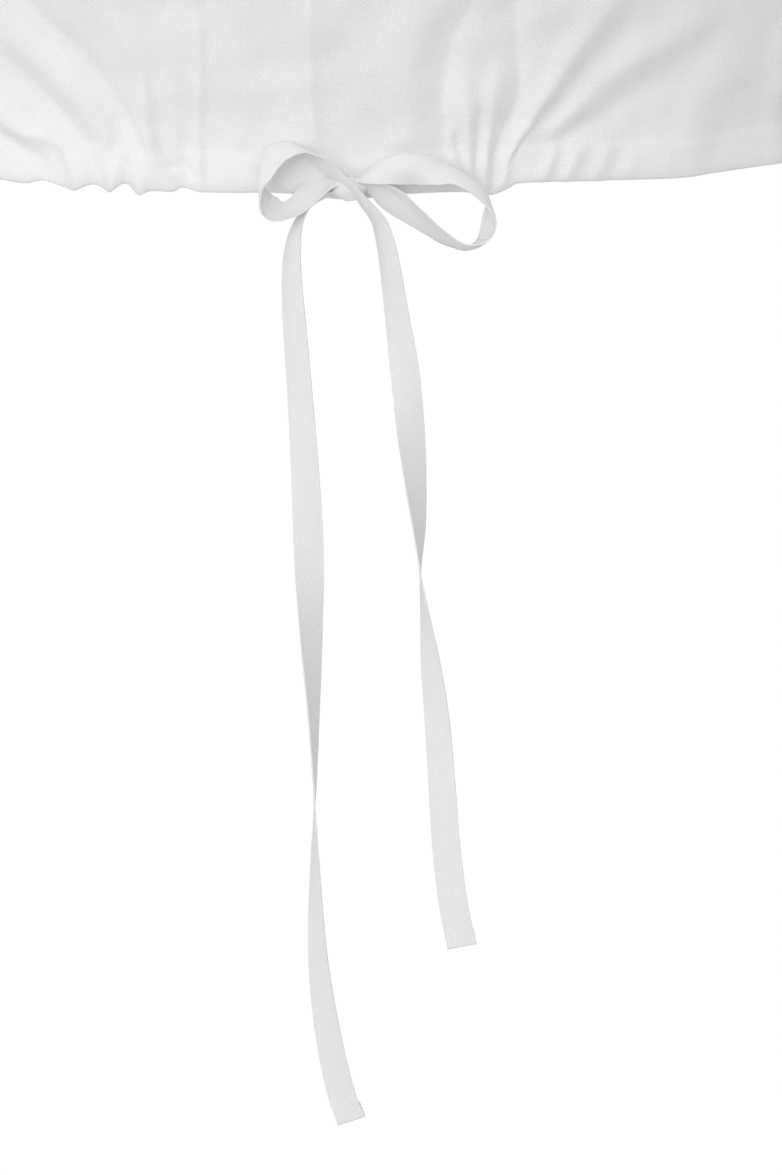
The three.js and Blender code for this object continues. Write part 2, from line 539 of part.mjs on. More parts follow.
const RIGHT_TAIL = [
  { x: 1.8, h: -0.6, out: 3.6, turn: -60, tilt: 54, wide: 0.42 },
  { x: 4.4, h: -1.9, out: 3.4, turn: -63, tilt: 50, wide: 0.5 },
  { x: 6.6, h: -4, out: 4, turn: -64, tilt: 38, wide: 0.75 },
  { x: 8.6, h: -7.2, out: 5, turn: -62, tilt: 26, wide: 1 },
  { x: 10.7, h: -11.5, out: 5.8, turn: -56, tilt: 18, wide: 1 },
  { x: 12.9, h: -21, out: 6.4, turn: -49, tilt: 13, wide: 1 },
  { x: 15.7, h: -40.5, out: 7, turn: -37, tilt: 12, wide: 1 },
  { x: 18.4, h: -60, out: 7, turn: -12, tilt: 10, wide: 1 },
  { x: 20.5, h: -81, out: 7, turn: 24, tilt: 7, wide: 1 },
  { x: 22, h: -98, out: 7, turn: 47, tilt: 5, wide: 1 },
  { x: 23.1, h: -112, out: 7, turn: 66, tilt: 3, wide: 1 },
  { x: 23.6, h: -127, out: 7, turn: 90, tilt: 0, wide: 1 },
  { x: 25.2, h: -142, out: 7, turn: 108, tilt: 6, wide: 1 },
  { x: 27, h: -158, out: 7, turn: 130, tilt: 8, wide: 1 },
  { x: 29, h: -176, out: 7, turn: 145, tilt: 8, wide: 1 },
  { x: 30.6, h: -197, out: 7, turn: 154, tilt: 8, wide: 1 },
  { x: 32.2, h: -220, out: 7, turn: 160, tilt: 8, wide: 1 },
  { x: 34.6, h: -239.5, out: 7, turn: 168, tilt: 12, wide: 1 },
  { x: 37.4, h: -253.5, out: 7, turn: 175, tilt: 15, wide: 1 },
];
// The two short stretches from the buttonholes in the casing to the knot.
const LEFT_LEAD = [
  { x: -5.4, h: 6.2, out: 2, turn: 0, tilt: 100, wide: 0.5 },
  { x: -3, h: 5.4, out: 2, turn: 0, tilt: 108, wide: 0.45 },
  { x: -0.8, h: 4.6, out: 2.1, turn: 0, tilt: 112, wide: 0.36 },
];
const RIGHT_LEAD = [
  { x: 7.4, h: 5.4, out: 2, turn: 0, tilt: 80, wide: 0.5 },
  { x: 5, h: 4.7, out: 2, turn: 0, tilt: 72, wide: 0.45 },
  { x: 2.8, h: 4, out: 2.1, turn: 0, tilt: 68, wide: 0.36 },
];

// A place given by x, out and h: out is measured from the hem's face at centre front.
const atHem = ({ x, out, h }) => new THREE.Vector3(x, -BODY_SECTIONS[0].front - out, HEM_Z + h);

// The direction of the tape's width, as long as the share of it that is left.
function widthAt({ turn, tilt, wide }) {
  const level = Math.cos(degrees(turn)) * wide;
  const depth = Math.sin(degrees(turn)) * wide;
  return new THREE.Vector3(level * Math.cos(degrees(tilt)), depth, level * Math.sin(degrees(tilt)));
}

// A flat tape of rectangular section through its stations, closed at both ends.
function tape(stations, steps) {
  const centres = new THREE.CatmullRomCurve3(stations.map(atHem));
  const widths = new THREE.CatmullRomCurve3(stations.map(widthAt));
  const rings = Array.from({ length: steps + 1 }, (_, k) => {
    const t = k / steps;
    const middle = centres.getPoint(t);
    const half = widths.getPoint(t).multiplyScalar(TAPE.width / 2);
    const thin = half.clone().cross(centres.getTangent(t)).setLength(TAPE.thick / 2);
    const corner = (a, b) => middle.clone().addScaledVector(half, a).addScaledVector(thin, b);
    return [corner(-1, -1), corner(1, -1), corner(1, 1), corner(-1, 1)];
  });
  // Opposite faces are split along the same diagonal, so that a twisted stretch keeps its thickness.
  const faces = [];
  for (let k = 0; k < steps; k++) {
    for (let c = 0; c < 4; c++) {
      const [a, b] = [4 * k + c, 4 * k + ((c + 1) % 4)];
      if (c < 2) faces.push(a, b + 4, b, a, a + 4, b + 4);
      else faces.push(a, a + 4, b, b, a + 4, b + 4);
    }
  }
  const end = 4 * steps;
  faces.push(0, 1, 2, 0, 2, 3, end, end + 2, end + 1, end, end + 3, end + 2);
  return new THREE.BufferGeometry().setFromPoints(rings.flat()).setIndex(faces);
}

function knot() {
  const { x, y, z } = atHem(KNOT);
  return new THREE.SphereGeometry(1, 14, 10).scale(KNOT.wide, KNOT.deep, KNOT.high).translate(x, y, z);
}

// ---------- The blouse ----------
const linen = new THREE.MeshStandardMaterial({ color: 0xf2f2f1, roughness: 0.9, metalness: 0 });
const cottonTape = new THREE.MeshStandardMaterial({ color: 0xf4f4f3, roughness: 0.85, metalness: 0 });
const blouse = new THREE.Group();

function add(name, geometry, material) {
  const mesh = new THREE.Mesh(geometry, material);
  mesh.name = name;
  blouse.add(mesh);
}

add("front", panel(-1, FRONT_COLUMNS), linen);
add("back", panel(1, [...BACK_COLUMNS].reverse()), linen);
add("neckband", neckband(), linen);
add("sleeve_left", sleeve(0.6), linen);
add("sleeve_right", mirrored(sleeve(2.1)), linen);
add("cuff_left", cuff(), linen);
add("cuff_right", mirrored(cuff()), linen);
add("tape_knot", knot(), cottonTape);
add("tape_lead_left", tape(LEFT_LEAD, 4), cottonTape);
add("tape_lead_right", tape(RIGHT_LEAD, 4), cottonTape);
add("tape_loop_left", tape(LEFT_LOOP, 36), cottonTape);
add("tape_loop_right", tape(RIGHT_LOOP, 42), cottonTape);
add("tape_tail_left", tape(LEFT_TAIL, 44), cottonTape);
add("tape_tail_right", tape(RIGHT_TAIL, 44), cottonTape);

export default blouse;
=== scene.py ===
# %% [markdown]
# # A dirndl blouse with a drawstring hem
# The blouse is plain-woven white linen. Its hem is a casing, and a flat cotton tape runs inside it, comes
# out at centre front and is tied in a bow whose two tails hang free. It keeps the shape that it has on its
# wearer: hollow, with round neck, short puff sleeves and a gathered waist. The solids of the part give
# sizes and places. This lesson makes the fine surfaces around them, worked out with numpy.

# %% The frame
from collections import namedtuple

import bpy
import numpy as np
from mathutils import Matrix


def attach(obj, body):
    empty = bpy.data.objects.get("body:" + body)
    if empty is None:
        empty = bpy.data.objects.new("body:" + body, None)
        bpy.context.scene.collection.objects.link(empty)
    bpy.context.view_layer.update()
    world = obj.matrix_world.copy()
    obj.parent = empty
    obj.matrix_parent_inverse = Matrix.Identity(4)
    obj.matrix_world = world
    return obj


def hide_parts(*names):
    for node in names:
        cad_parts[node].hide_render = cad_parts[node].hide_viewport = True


MM = 0.001  # the frame is in metres, and a maker's sizes are in millimetres
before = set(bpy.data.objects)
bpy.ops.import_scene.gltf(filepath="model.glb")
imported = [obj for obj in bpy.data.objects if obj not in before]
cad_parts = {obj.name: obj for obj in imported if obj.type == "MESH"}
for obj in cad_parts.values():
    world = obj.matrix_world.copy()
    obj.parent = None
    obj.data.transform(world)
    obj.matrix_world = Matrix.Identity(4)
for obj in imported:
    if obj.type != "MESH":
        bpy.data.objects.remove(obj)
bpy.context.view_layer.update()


def add_object(name, data):
    """A new object in the scene, which stays at the origin unless it is the camera."""
    made = bpy.data.objects.new(name, data)
    bpy.context.scene.collection.objects.link(made)
    return made


print("nodes:", sorted(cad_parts))

# %% [markdown]
# ## The camera
# A long lens from 5 m away keeps the tails the same width from top to bottom, as a product picture does.
# It looks down a little. The picture takes in the lowest few centimetres of the blouse, the bow and both
# tails.

# %% The camera
HEM_Z = -385.0  # lower edge of the hem at centre front
HEM_Y = -111.0  # its face there; -Y is the front
LOOKS_DOWN = np.radians(8.5)
CAMERA_DISTANCE = 5.0
PICTURE_HEIGHT = 391.7 * MM  # what the picture takes in where the bow is
looks_at = np.array([13.67, HEM_Y - 20.4, HEM_Z - 130.1]) * MM
ahead = np.array([0, np.cos(LOOKS_DOWN), -np.sin(LOOKS_DOWN)])

camera_data = bpy.data.cameras.new("camera")
camera_data.sensor_width = 36
camera_data.lens = camera_data.sensor_width * CAMERA_DISTANCE / PICTURE_HEIGHT
camera_data.clip_end = 100
camera = add_object("camera", camera_data)
camera.location = looks_at - ahead * CAMERA_DISTANCE
camera.rotation_euler = (np.pi / 2 - LOOKS_DOWN, 0, 0)
bpy.context.scene.camera = camera
print(f"camera at {np.round(camera.location, 3)}, lens {camera_data.lens:.0f} mm")

# %% [markdown]
# ## Helpers for shapes
# A shape here is a grid of points, rows by columns, that one formula fills in a single step. Tables give
# the few sizes that a pattern cutter would write down, and smooth curves run through their rows.


# %% Smooth steps and curves through tables
def smooth(value, low, high):
    """0 below low and 1 above high, with t·t·(3 − 2t) between, where t is the share of the way."""
    t = np.clip((value - low) / (high - low), 0, 1)
    return t * t * (3 - 2 * t)


def mix(a, b, t):
    """a at t = 0, b at t = 1, and in proportion between."""
    return a + (b - a) * t


def bell(distance, width):
    """e to the power of minus the square of distance over width: 1 in the middle, dying away smoothly."""
    return np.exp(-((distance / width) ** 2))


def unit(vectors):
    """Each vector divided by its own length."""
    return vectors / np.linalg.norm(vectors, axis=-1, keepdims=True)


def through(knots, values, at):
    """A Hermite curve through values at the knots. The slope at a knot is the rise from the knot before
    it to the knot after it, over their distance."""
    knots, values, at = np.asarray(knots, float), np.asarray(values, float), np.asarray(at, float)
    index = np.arange(len(knots))
    before, after = np.maximum(index - 1, 0), np.minimum(index + 1, len(knots) - 1)
    slopes = (values[after] - values[before]) / (knots[after] - knots[before])
    k = np.clip(np.searchsorted(knots, at) - 1, 0, len(knots) - 2)
    gap = knots[k + 1] - knots[k]
    t = np.clip((at - knots[k]) / gap, 0, 1)
    start, end = values[k] * (1 + 2 * t) * (1 - t) ** 2, values[k + 1] * t * t * (3 - 2 * t)
    return start + end + gap * t * (1 - t) * (slopes[k] * (1 - t) - slopes[k + 1] * t)


def length_along(points, axis=0):
    """Distance along a line of points, or along a grid's columns or rows, from the first point to each."""
    steps = np.linalg.norm(np.diff(points, axis=axis), axis=-1)
    return np.concatenate([0 * np.take(steps, [0], axis=axis), np.cumsum(steps, axis=axis)], axis=axis)


print("halfway up a smooth step:", smooth(0.5, 0, 1))


# %% [markdown]
# The grid's points go to Blender all at once with foreach_set, which is much faster than one by one. Each
# face is a quad between two rows and two columns. The UV map is in metres along the cloth, so the weave has
# the same size on every piece.

# %% From a grid of points to a mesh
def surface(name, points, uv, round_columns=False, round_rows=False):
    """A mesh from points[row, column] in millimetres. Column direction × row direction points outwards.
    uv[row, column] is in metres along the cloth, with one more row or column where the grid closes."""
    rows, columns = points.shape[:2]
    index = np.arange(rows * columns).reshape(rows, columns)
    if round_columns:
        index = np.hstack([index, index[:, :1]])
    if round_rows:
        index = np.vstack([index, index[:1]])
    corners = [index[:-1, :-1], index[:-1, 1:], index[1:, 1:], index[1:, :-1]]
    uv_corners = [uv[:-1, :-1], uv[:-1, 1:], uv[1:, 1:], uv[1:, :-1]]
    quads = np.stack(corners, axis=-1).reshape(-1, 4)
    mesh = bpy.data.meshes.new(name)
    mesh.vertices.add(rows * columns)
    mesh.vertices.foreach_set("co", (points.reshape(-1) * MM).astype(np.float32))
    mesh.loops.add(quads.size)
    mesh.loops.foreach_set("vertex_index", quads.reshape(-1).astype(np.int32))
    mesh.polygons.add(len(quads))
    mesh.polygons.foreach_set("loop_start", np.arange(0, quads.size, 4, dtype=np.int32))
    mesh.update(calc_edges=True)
    mesh.shade_smooth()
    layer = mesh.uv_layers.new(name="cloth")
    layer.data.foreach_set("uv", np.stack(uv_corners, axis=2).reshape(-1).astype(np.float32))
    mesh.validate()
    return add_object(name, mesh)


def give_thickness(piece, thickness, offset=-1):
    """Turns a surface into a shell. Its wall goes inwards, or half to each side where offset is 0."""
    solidify = piece.modifiers.new("cloth thickness", "SOLIDIFY")
    solidify.thickness = thickness * MM
    solidify.offset = offset
    return piece


def fix_thickness(piece, sharpest=50):
    """Makes the shell's wall part of its mesh. Edges that turn by more than sharpest degrees are sharp, so
    that the flat faces keep their own shade right up to the rim."""
    bpy.context.view_layer.update()
    thick = piece.evaluated_get(bpy.context.evaluated_depsgraph_get())
    piece.data = bpy.data.meshes.new_from_object(thick)
    piece.modifiers.clear()
    piece.data.set_sharp_from_angle(angle=np.radians(sharpest))
    return piece


def finish_piece(piece, material, node=None):
    """Gives a piece its material and its place in the frame, and hides the solid it stands for."""
    piece.data.materials.append(material)
    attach(piece, "root")
    if node:
        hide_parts(node)
    print(f"{piece.name}: {len(piece.data.polygons)} faces")
    return piece


# %% [markdown]
# ## Materials
# Everything here is white, so the weave and the way it takes light do all the work. The cloth is linen,
# woven plain, one thread over and one under, from flax yarn with slubs: stretches where the yarn is
# thicker. The tape is cotton twill woven in a herringbone. Both scatter light evenly, with almost no
# gloss, so they start from a high roughness, a plant fibre's IOR of about 1.5 and a little sheen from
# loose fibres.


# %% Helpers for materials
def linear(code):
    """An sRGB hex colour as linear red, green, blue and alpha."""
    channels = np.array([int(code[k : k + 2], 16) / 255 for k in (1, 3, 5)])
    low, high = channels / 12.92, ((channels + 0.055) / 1.055) ** 2.4
    return (*np.where(channels <= 0.04045, low, high), 1.0)


def add_node(tree, kind, inputs=(), **settings):
    """Adds a node. inputs gives each socket a value, or a link where what is given is another's output."""
    made = tree.nodes.new(kind)
    for name, value in settings.items():
        setattr(made, name, value)
    for socket, value in dict(inputs).items():
        if isinstance(value, bpy.types.NodeSocket):
            tree.links.new(value, made.inputs[socket])
        else:
            made.inputs[socket].default_value = value
    return made.outputs[0]


def fabric(name, base, roughness, sheen):
    """A cloth shader with a tree to fill in: the material, its tree, its shader, and u and v in metres."""
    material = bpy.data.materials.new(name)
    material.use_nodes = True
    tree = material.node_tree
    shader = tree.nodes["Principled BSDF"]
    shader.inputs["Base Color"].default_value = linear(base)
    shader.inputs["Roughness"].default_value = roughness
    shader.inputs["IOR"].default_value = 1.5
    shader.inputs["Specular IOR Level"].default_value = 0.2
    shader.inputs["Sheen Weight"].default_value = sheen
    shader.inputs["Sheen Roughness"].default_value = 0.6
    uv = add_node(tree, "ShaderNodeUVMap", uv_map="cloth")
    return material, tree, shader, uv


def calculate(tree, operation, *values):
    """One step of arithmetic on sockets or numbers."""
    return add_node(tree, "ShaderNodeMath", enumerate(values), operation=operation)


def axes_of(tree, uv):
    """u and v as two sockets."""
    return add_node(tree, "ShaderNodeSeparateXYZ", {0: uv}).node.outputs[:2]


def add_bump(tree, shader, height, depth):
    """Lets height, from about 0 to 1, push the shader's normal as a relief that is depth deep."""
    bump = add_node(tree, "ShaderNodeBump", {"Height": height, "Distance": depth, "Strength": 1.0})
    tree.links.new(bump, shader.inputs["Normal"])


print("white cloth reflects", round(linear("#F0F0EF")[0], 2), "of the light")


# %% [markdown]
# ### Linen
# Plain weave puts one thread on top, then the other, so its height is the product of two waves, one
# across and one along, each two threads long. Slubs are noise stretched along the yarn. The real thread is
# about 0.5 mm, which is too fine to show from here, so it is drawn at 0.95 mm.

# %% Linen cloth
THREAD = 0.95 * MM
SLUB_LENGTH, SLUB_WIDTH = 8 * MM, 0.8 * MM
SLUB_HEIGHT, WEAVE_HEIGHT, LINEN_RELIEF = 0.7, 0.5, 0.11 * MM
WANDER_LENGTH, WANDER = 6 * MM, 5.0  # threads wander sideways by up to this phase, in radians


def linen():
    """Height = interlacing of warp and weft, plus slubs across and along. Slubs are also a little whiter."""
    material, tree, shader, uv = fabric("plain-woven linen", "#F0F0EF", 0.92, 0.25)
    noise = add_node(tree, "ShaderNodeTexNoise", {"Vector": uv, "Scale": 1 / WANDER_LENGTH, "Detail": 1.0})
    waves = []
    for axis in axes_of(tree, uv):
        wander = calculate(tree, "MULTIPLY", noise, WANDER)
        waves.append(calculate(tree, "SINE", calculate(tree, "MULTIPLY_ADD", axis, np.pi / THREAD, wander)))
    interlacing = calculate(tree, "MULTIPLY", *waves)
    slubs = []
    for scale in ((1 / SLUB_LENGTH, 1 / SLUB_WIDTH, 1), (1 / SLUB_WIDTH, 1 / SLUB_LENGTH, 1)):
        stretched = add_node(tree, "ShaderNodeMapping", {"Vector": uv, "Scale": scale})
        slubs.append(add_node(tree, "ShaderNodeTexNoise", {"Vector": stretched, "Scale": 1.0, "Detail": 2.0}))
    slub = calculate(tree, "ADD", *slubs)
    weave = calculate(tree, "MULTIPLY", interlacing, WEAVE_HEIGHT)
    add_bump(tree, shader, calculate(tree, "MULTIPLY_ADD", slub, SLUB_HEIGHT, weave), LINEN_RELIEF)
    colours = tree.nodes.new("ShaderNodeValToRGB")
    colours.color_ramp.elements[0].position, colours.color_ramp.elements[1].position = 0.35, 0.65
    colours.color_ramp.elements[0].color = linear("#F0F0EF")
    colours.color_ramp.elements[1].color = linear("#F3F3F2")
    tree.links.new(calculate(tree, "MULTIPLY", slub, 0.5), colours.inputs[0])
    tree.links.new(colours.outputs[0], shader.inputs["Base Color"])
    return material


linen_cloth = linen()
print("made:", linen_cloth.name)

# %% [markdown]
# ### Herringbone tape
# Twill ribs climb away from the middle of the tape on both sides, so the height depends on the distance
# from the middle and on the length along the tape. The woven edges are smooth.

# %% Cotton tape and sewing thread
TAPE_WIDTH = 10.0
RIB_PITCH = 1.0 * MM
RIB_LEAN = np.radians(17)  # from the tape's own direction
RIB_HEIGHT, TAPE_RELIEF = 0.5, 0.07 * MM
WOVEN_EDGE = 0.6  # each edge is smooth this far in


def herringbone():
    """Height = sine of 2π·(distance from the middle·cos lean − length·sin lean) / pitch."""
    material, tree, shader, uv = fabric("cotton herringbone tape", "#ECECEB", 0.88, 0.15)
    u, v = axes_of(tree, uv)
    aside = calculate(tree, "ABSOLUTE", u)
    across = calculate(tree, "MULTIPLY", aside, 2 * np.pi * np.cos(RIB_LEAN) / RIB_PITCH)
    phase = calculate(tree, "MULTIPLY_ADD", v, -2 * np.pi * np.sin(RIB_LEAN) / RIB_PITCH, across)
    ribs = calculate(tree, "SINE", phase)
    fibres = add_node(tree, "ShaderNodeTexNoise", {"Vector": uv, "Scale": 1 / (0.7 * MM), "Detail": 2.0})
    inside = calculate(tree, "LESS_THAN", aside, (TAPE_WIDTH / 2 - WOVEN_EDGE) * MM)
    woven = calculate(tree, "MULTIPLY", ribs, inside)
    add_bump(tree, shader, calculate(tree, "MULTIPLY_ADD", woven, RIB_HEIGHT, fibres), TAPE_RELIEF)
    return material


def sewing_thread():
    """Spun polyester thread, whose twist is finer than can be seen, with a soft shine."""
    material, tree, shader, uv = fabric("spun sewing thread", "#F3F3F2", 0.6, 0.1)
    fibres = add_node(tree, "ShaderNodeTexNoise", {"Vector": uv, "Scale": 1 / (0.3 * MM)})
    add_bump(tree, shader, fibres, 0.02 * MM)
    return material


cotton_tape, white_thread = herringbone(), sewing_thread()
print("made:", cotton_tape.name, "and", white_thread.name)

# %% [markdown]
# ## The tape
# A tape is a strip with a centre line and a direction of width at each point. Stations give both:
# x across and h above the hem, out in front of the hem's face, and turn and tilt of the width. Cotton tape
# that has been tied is arched across its width, which gives each strand a light and a dark side. arch is
# the height of that arch, positive where it stands out to the side that the strip's normal points to.

# %% Strips through stations
Station = namedtuple("Station", "x h out turn tilt wide arch crest sharp", defaults=(0, 0))
TAPE_THICKNESS = 0.5
ROOF_ROUND = 0.2  # how far the ridge of a sharp arch is rounded, as a share of the half width


def centres_and_widths(stations):
    """Centres = (x, hem's face − out, hem + h). Widths = wide · (cos turn·cos tilt, sin turn,
    cos turn·sin tilt), which has length wide. The last three columns are arch, crest and sharp."""
    x, h, out, turn, tilt, wide, *section = np.array([Station(*row) for row in stations], float).T
    turn, tilt = np.radians(turn), np.radians(tilt)
    centres = np.stack([x, HEM_Y - out, HEM_Z + h], axis=1)
    widths = np.stack([np.cos(turn) * np.cos(tilt), np.sin(turn), np.cos(turn) * np.sin(tilt)], axis=1)
    return centres, widths * wide[:, None], np.array(section).T


def strip(stations, first=0, last=-1, spacing=0.5):
    """Rows every spacing from the station first to the station last: distance, centre, half width, normal
    and section. The normal is the width × the strip's own direction."""
    centres, widths, section = centres_and_widths(stations)
    knots = length_along(centres)
    start, end = knots[first], knots[last]
    at = np.linspace(start, end, int((end - start) / spacing) + 1)
    line, width, section = (np.stack([through(knots, column, at) for column in table.T], axis=1)
                            for table in (centres, widths, section))
    direction = unit(np.gradient(line, axis=0))
    width = width - direction * np.sum(width * direction, axis=1, keepdims=True)
    return at, line, width, unit(np.cross(width, direction)), section


def tape_points(at, line, width, normal, section, columns=17):
    """A point is the centre, plus a share a from −1 to 1 of the half width, plus arch · profile along the
    normal. The profile is 1 − q² where sharp is 0, and a roof with a rounded ridge where sharp is 1. q is
    0 at the crest and ±1 at the edges."""
    share = np.linspace(-1, 1, columns)[None, :]
    arch, crest, sharp = (section[:, k : k + 1] for k in range(3))
    q = (share - crest) / np.where(share > crest, 1 - crest, 1 + crest)
    roof = (1.02 - np.sqrt(q * q + ROOF_ROUND**2)) / (1.02 - ROOF_ROUND)
    rise = arch * mix(1 - q * q, roof, sharp)
    across = share[..., None] * width[:, None] * TAPE_WIDTH / 2
    points = line[:, None] + across + rise[..., None] * normal[:, None]
    uv = np.stack(np.broadcast_arrays(share * TAPE_WIDTH / 2, at[:, None]), axis=2) * MM
    return points, uv


print("a station holds:", Station._fields)

# %% [markdown]
# Two strands make the bow. The first goes down and up round the left loop, over the front of the knot and
# down as the right tail. The second is the right loop, whose ends go into the knot. Between two stations a
# strip turns smoothly, so a strand that shows its outer face at one place shows its inner face after a turn.

# %% Stations of the first strand
FIRST_STRAND = [
    (-2.4, 3.4, 5.6, -64, -40, 0.3, 0.4),
    (-5.4, 3.9, 6, -64, -44, 0.5, 0.8),
    (-9.6, 2.8, 6.5, -57, -59, 0.85, 1.2),
    (-12.5, 1.2, 6.8, -50, -58, 0.95, 1.2),
    (-15, -0.8, 7.2, -46, -60, 1, 1.2),
    (-17.8, -3.3, 7.6, -54, -68, 1, 1.2),
    (-21.6, -5, 8, -58, -98, 1, 1.2),
    (-24.8, -4.9, 8, -47, -119, 1, 1.3),
    (-27.2, -2.8, 8, -48, -130, 1, 1.4),
    (-28.7, 1.6, 8, -82, -174, 1, 1.5),
    (-28.2, 6.4, 7.6, -64, -26, 1, 1.5),
    (-26.5, 11.1, 7.2, -47, -50, 1, 1.5),
    (-24.5, 13.3, 7.2, -52, -58, 1, 1.5),
    (-21.8, 14.7, 7.2, -61, -68, 1, 1.5),
    (-18.8, 15.2, 7.2, -70, -70, 1, 1.5),
    (-14.9, 14.3, 7.2, -82, 81, 1, 1),
    (-12.5, 13.1, 7.2, -74, 62, 1, 0.6),
    (-9.8, 11, 7.2, -62, 51, 1, 0),
    (-7.1, 8.6, 7.2, -57, 51, 0.86, -0.5),
    (-3.6, 6.3, 7.9, -53, 50, 0.6, -0.6),
    (-0.2, 3.6, 8.4, -52, 48, 0.46, -0.6),
    (2.7, 0.6, 8.1, -54, 44, 0.46, -0.7),
    (5.4, -3, 6.6, -58, 38, 0.72, -1),
    (8.6, -7.2, 5.4, -62, 26, 1, -1.2),
    (10.7, -11.5, 5.8, -56, 18, 1, -1.1),
    (12.9, -21, 6.4, -49, 13, 1, -0.9),
    (15.7, -40.5, 7, -37, 12, 1, -0.5),
    (18.4, -60, 7, -12, 10, 1, -0.3),
    (20.5, -81, 7, 24, 7, 1, 0.2),
    (22, -98, 7, 47, 5, 1, 0.3),
    (23.1, -112, 7, 66, 3, 1, 0.3),
    (23.6, -127, 7, 90, 0, 1, 0.3),
    (25.2, -142, 7, 108, 6, 1, 0.3),
    (27, -158, 7, 130, 8, 1, 0.2),
    (29, -176, 7, 145, 8, 1, 0.2),
    (30.6, -197, 7, 154, 8, 1, 0.2),
    (32.2, -220, 7, 160, 8, 1, 0.2),
    (34.6, -239.5, 7, 168, 12, 1, 0.1),
    (37.4, -253.5, 7, 175, 15, 1, 0),
]
LOOP_ENDS, TAIL_STARTS = 18, 23  # the stations where the loop meets the knot and where the tail leaves it
print("first strand:", len(FIRST_STRAND), "stations")

# %% Stations of the right loop and the left tail
RIGHT_LOOP = [
    (1, 4.2, 5.6, -66, -90, 0.25, 0.4, 0.3, 1),
    (3.4, 4.9, 6, -64, -90, 0.35, 0.7, 0.3, 1),
    (5.6, 5.6, 6.2, -60, -86, 0.6, 1, 0.3, 1),
    (8.6, 6.7, 6.6, -55, -70, 0.95, 1.6, 0.3, 1),
    (12.6, 7.7, 6.8, -41, -68, 1, 2, 0.2, 1),
    (16.7, 8.4, 7, -19, -75, 1, 2, 0.1, 1),
    (21.2, 8.6, 7, -6, -78, 1, 1.9, 0.1, 1),
    (25.4, 8.2, 7, -16, -81, 1, 1.7, 0.35, 0.8),
    (29.3, 7.4, 7.2, -39, -83, 1, 1.5, 0.4, 0.3),
    (33.1, 6.8, 7.4, -58, -90, 1, 1.5),
    (36.5, 5.6, 7.6, -67, -114, 1, 1.5),
    (42.1, 1.9, 8, -71, -152, 1, 1.5),
    (44.9, -1.8, 8.2, -80, 170, 1, 1.5),
    (46.1, -6, 8.4, -71, 24, 1, 1.5),
    (46.2, -9.8, 8.2, -59, 8, 1, 1.5),
    (44.4, -13.9, 8, -64, 8, 1, 1.5),
    (41.4, -16.2, 8, -80, 40, 1, 1.5),
    (37.4, -16.9, 7.9, -72, 88, 1, 1.2),
    (31.8, -14.6, 7.6, -61, 73, 1, 0.4),
    (27.4, -11.6, 7.4, -55, 65, 1, -0.4, 0, 0.6),
    (21.2, -7, 7.2, -42, 62, 1, -1, 0.1, 1),
    (15.6, -2.8, 7.1, -29, 60, 1, -1.3, 0.2, 1),
    (10.4, 0.6, 7.1, -32, 56, 0.85, -1.2, 0.3, 1),
    (6, 2.4, 6.6, -46, 50, 0.5, -0.8, 0.3, 1),
    (2.6, 3, 5.8, -46, 60, 0.3, -0.4, 0.3, 1),
]
LEFT_TAIL = [
    (-4.4, 0.6, 4.4, -60, 44, 0.5, -0.8),
    (-7.6, -0.5, 4.2, -64, 52, 0.8, -1.2),
    (-11.3, -2.8, 4.2, -64, 52, 1, -1.2),
    (-14.6, -5.8, 4.4, -64, 48, 1, -1.2),
    (-17, -9.6, 4.8, -64, 34, 1, -1.1),
    (-18.6, -15.3, 5.2, -62, 14, 1, -1),
    (-19.4, -25, 5.6, -52, 0, 1, -0.8),
    (-18.6, -42, 6, -41, 3, 1, -0.5),
    (-16.8, -66, 6, -34, 4, 1, -0.3),
    (-15.1, -92, 6, -22, 3, 1, -0.2),
    (-13.7, -122, 6, 4, 3, 1, 0.2),
    (-13, -149, 6, 43, 2, 1, 0.3),
    (-12.2, -176, 6, 69, 1, 1, 0.3),
    (-11.8, -203, 5.4, 88, 0, 1, 0.3),
    (-11.7, -231, 3, 110, 0, 1, 0.3),
    (-10.8, -259, -1, 130, 4, 1, 0.2),
    (-7.8, -284, -5, 148, 10, 1, 0.1),
    (-3.2, -306.5, -7.6, 161, 12, 1, 0),
    (0.2, -315.8, -8, 168, 12, 1, 0),
]
LEFT_LEAD = [
    (-5.4, 6.2, 2, 0, 100, 0.5, 0),
    (-3, 5.4, 2, 0, 108, 0.45, 0),
    (-0.8, 4.6, 2.1, 0, 112, 0.36, 0),
]
RIGHT_LEAD = [
    (7.4, 5.4, 2, 0, 80, 0.5, 0),
    (5, 4.7, 2, 0, 72, 0.45, 0),
    (2.8, 4, 2.1, 0, 68, 0.36, 0),
]
KNOT = {"x": -0.3, "h": 1.9, "out": 5.6, "wide": 6.3, "deep": 2.7, "high": 4.3}
print("right loop:", len(RIGHT_LOOP), "stations; left tail:", len(LEFT_TAIL))


# %% [markdown]
# Each length of tape is a surface at first, and a Solidify modifier gives it thickness. That modifier is
# applied here, because the rim of a tape is seen from close by: with its edges marked sharp, the flat faces
# keep their own shade. On the body's cloth the modifier stays live. The raw end of each tail is turned up
# behind, as a seamstress does it. Two short leads join the bow to the casing.

# %% Loops, leads and tails
END_HEM = 5.5  # the last of each tail is turned up behind and sewn
END_STEP = 0.5


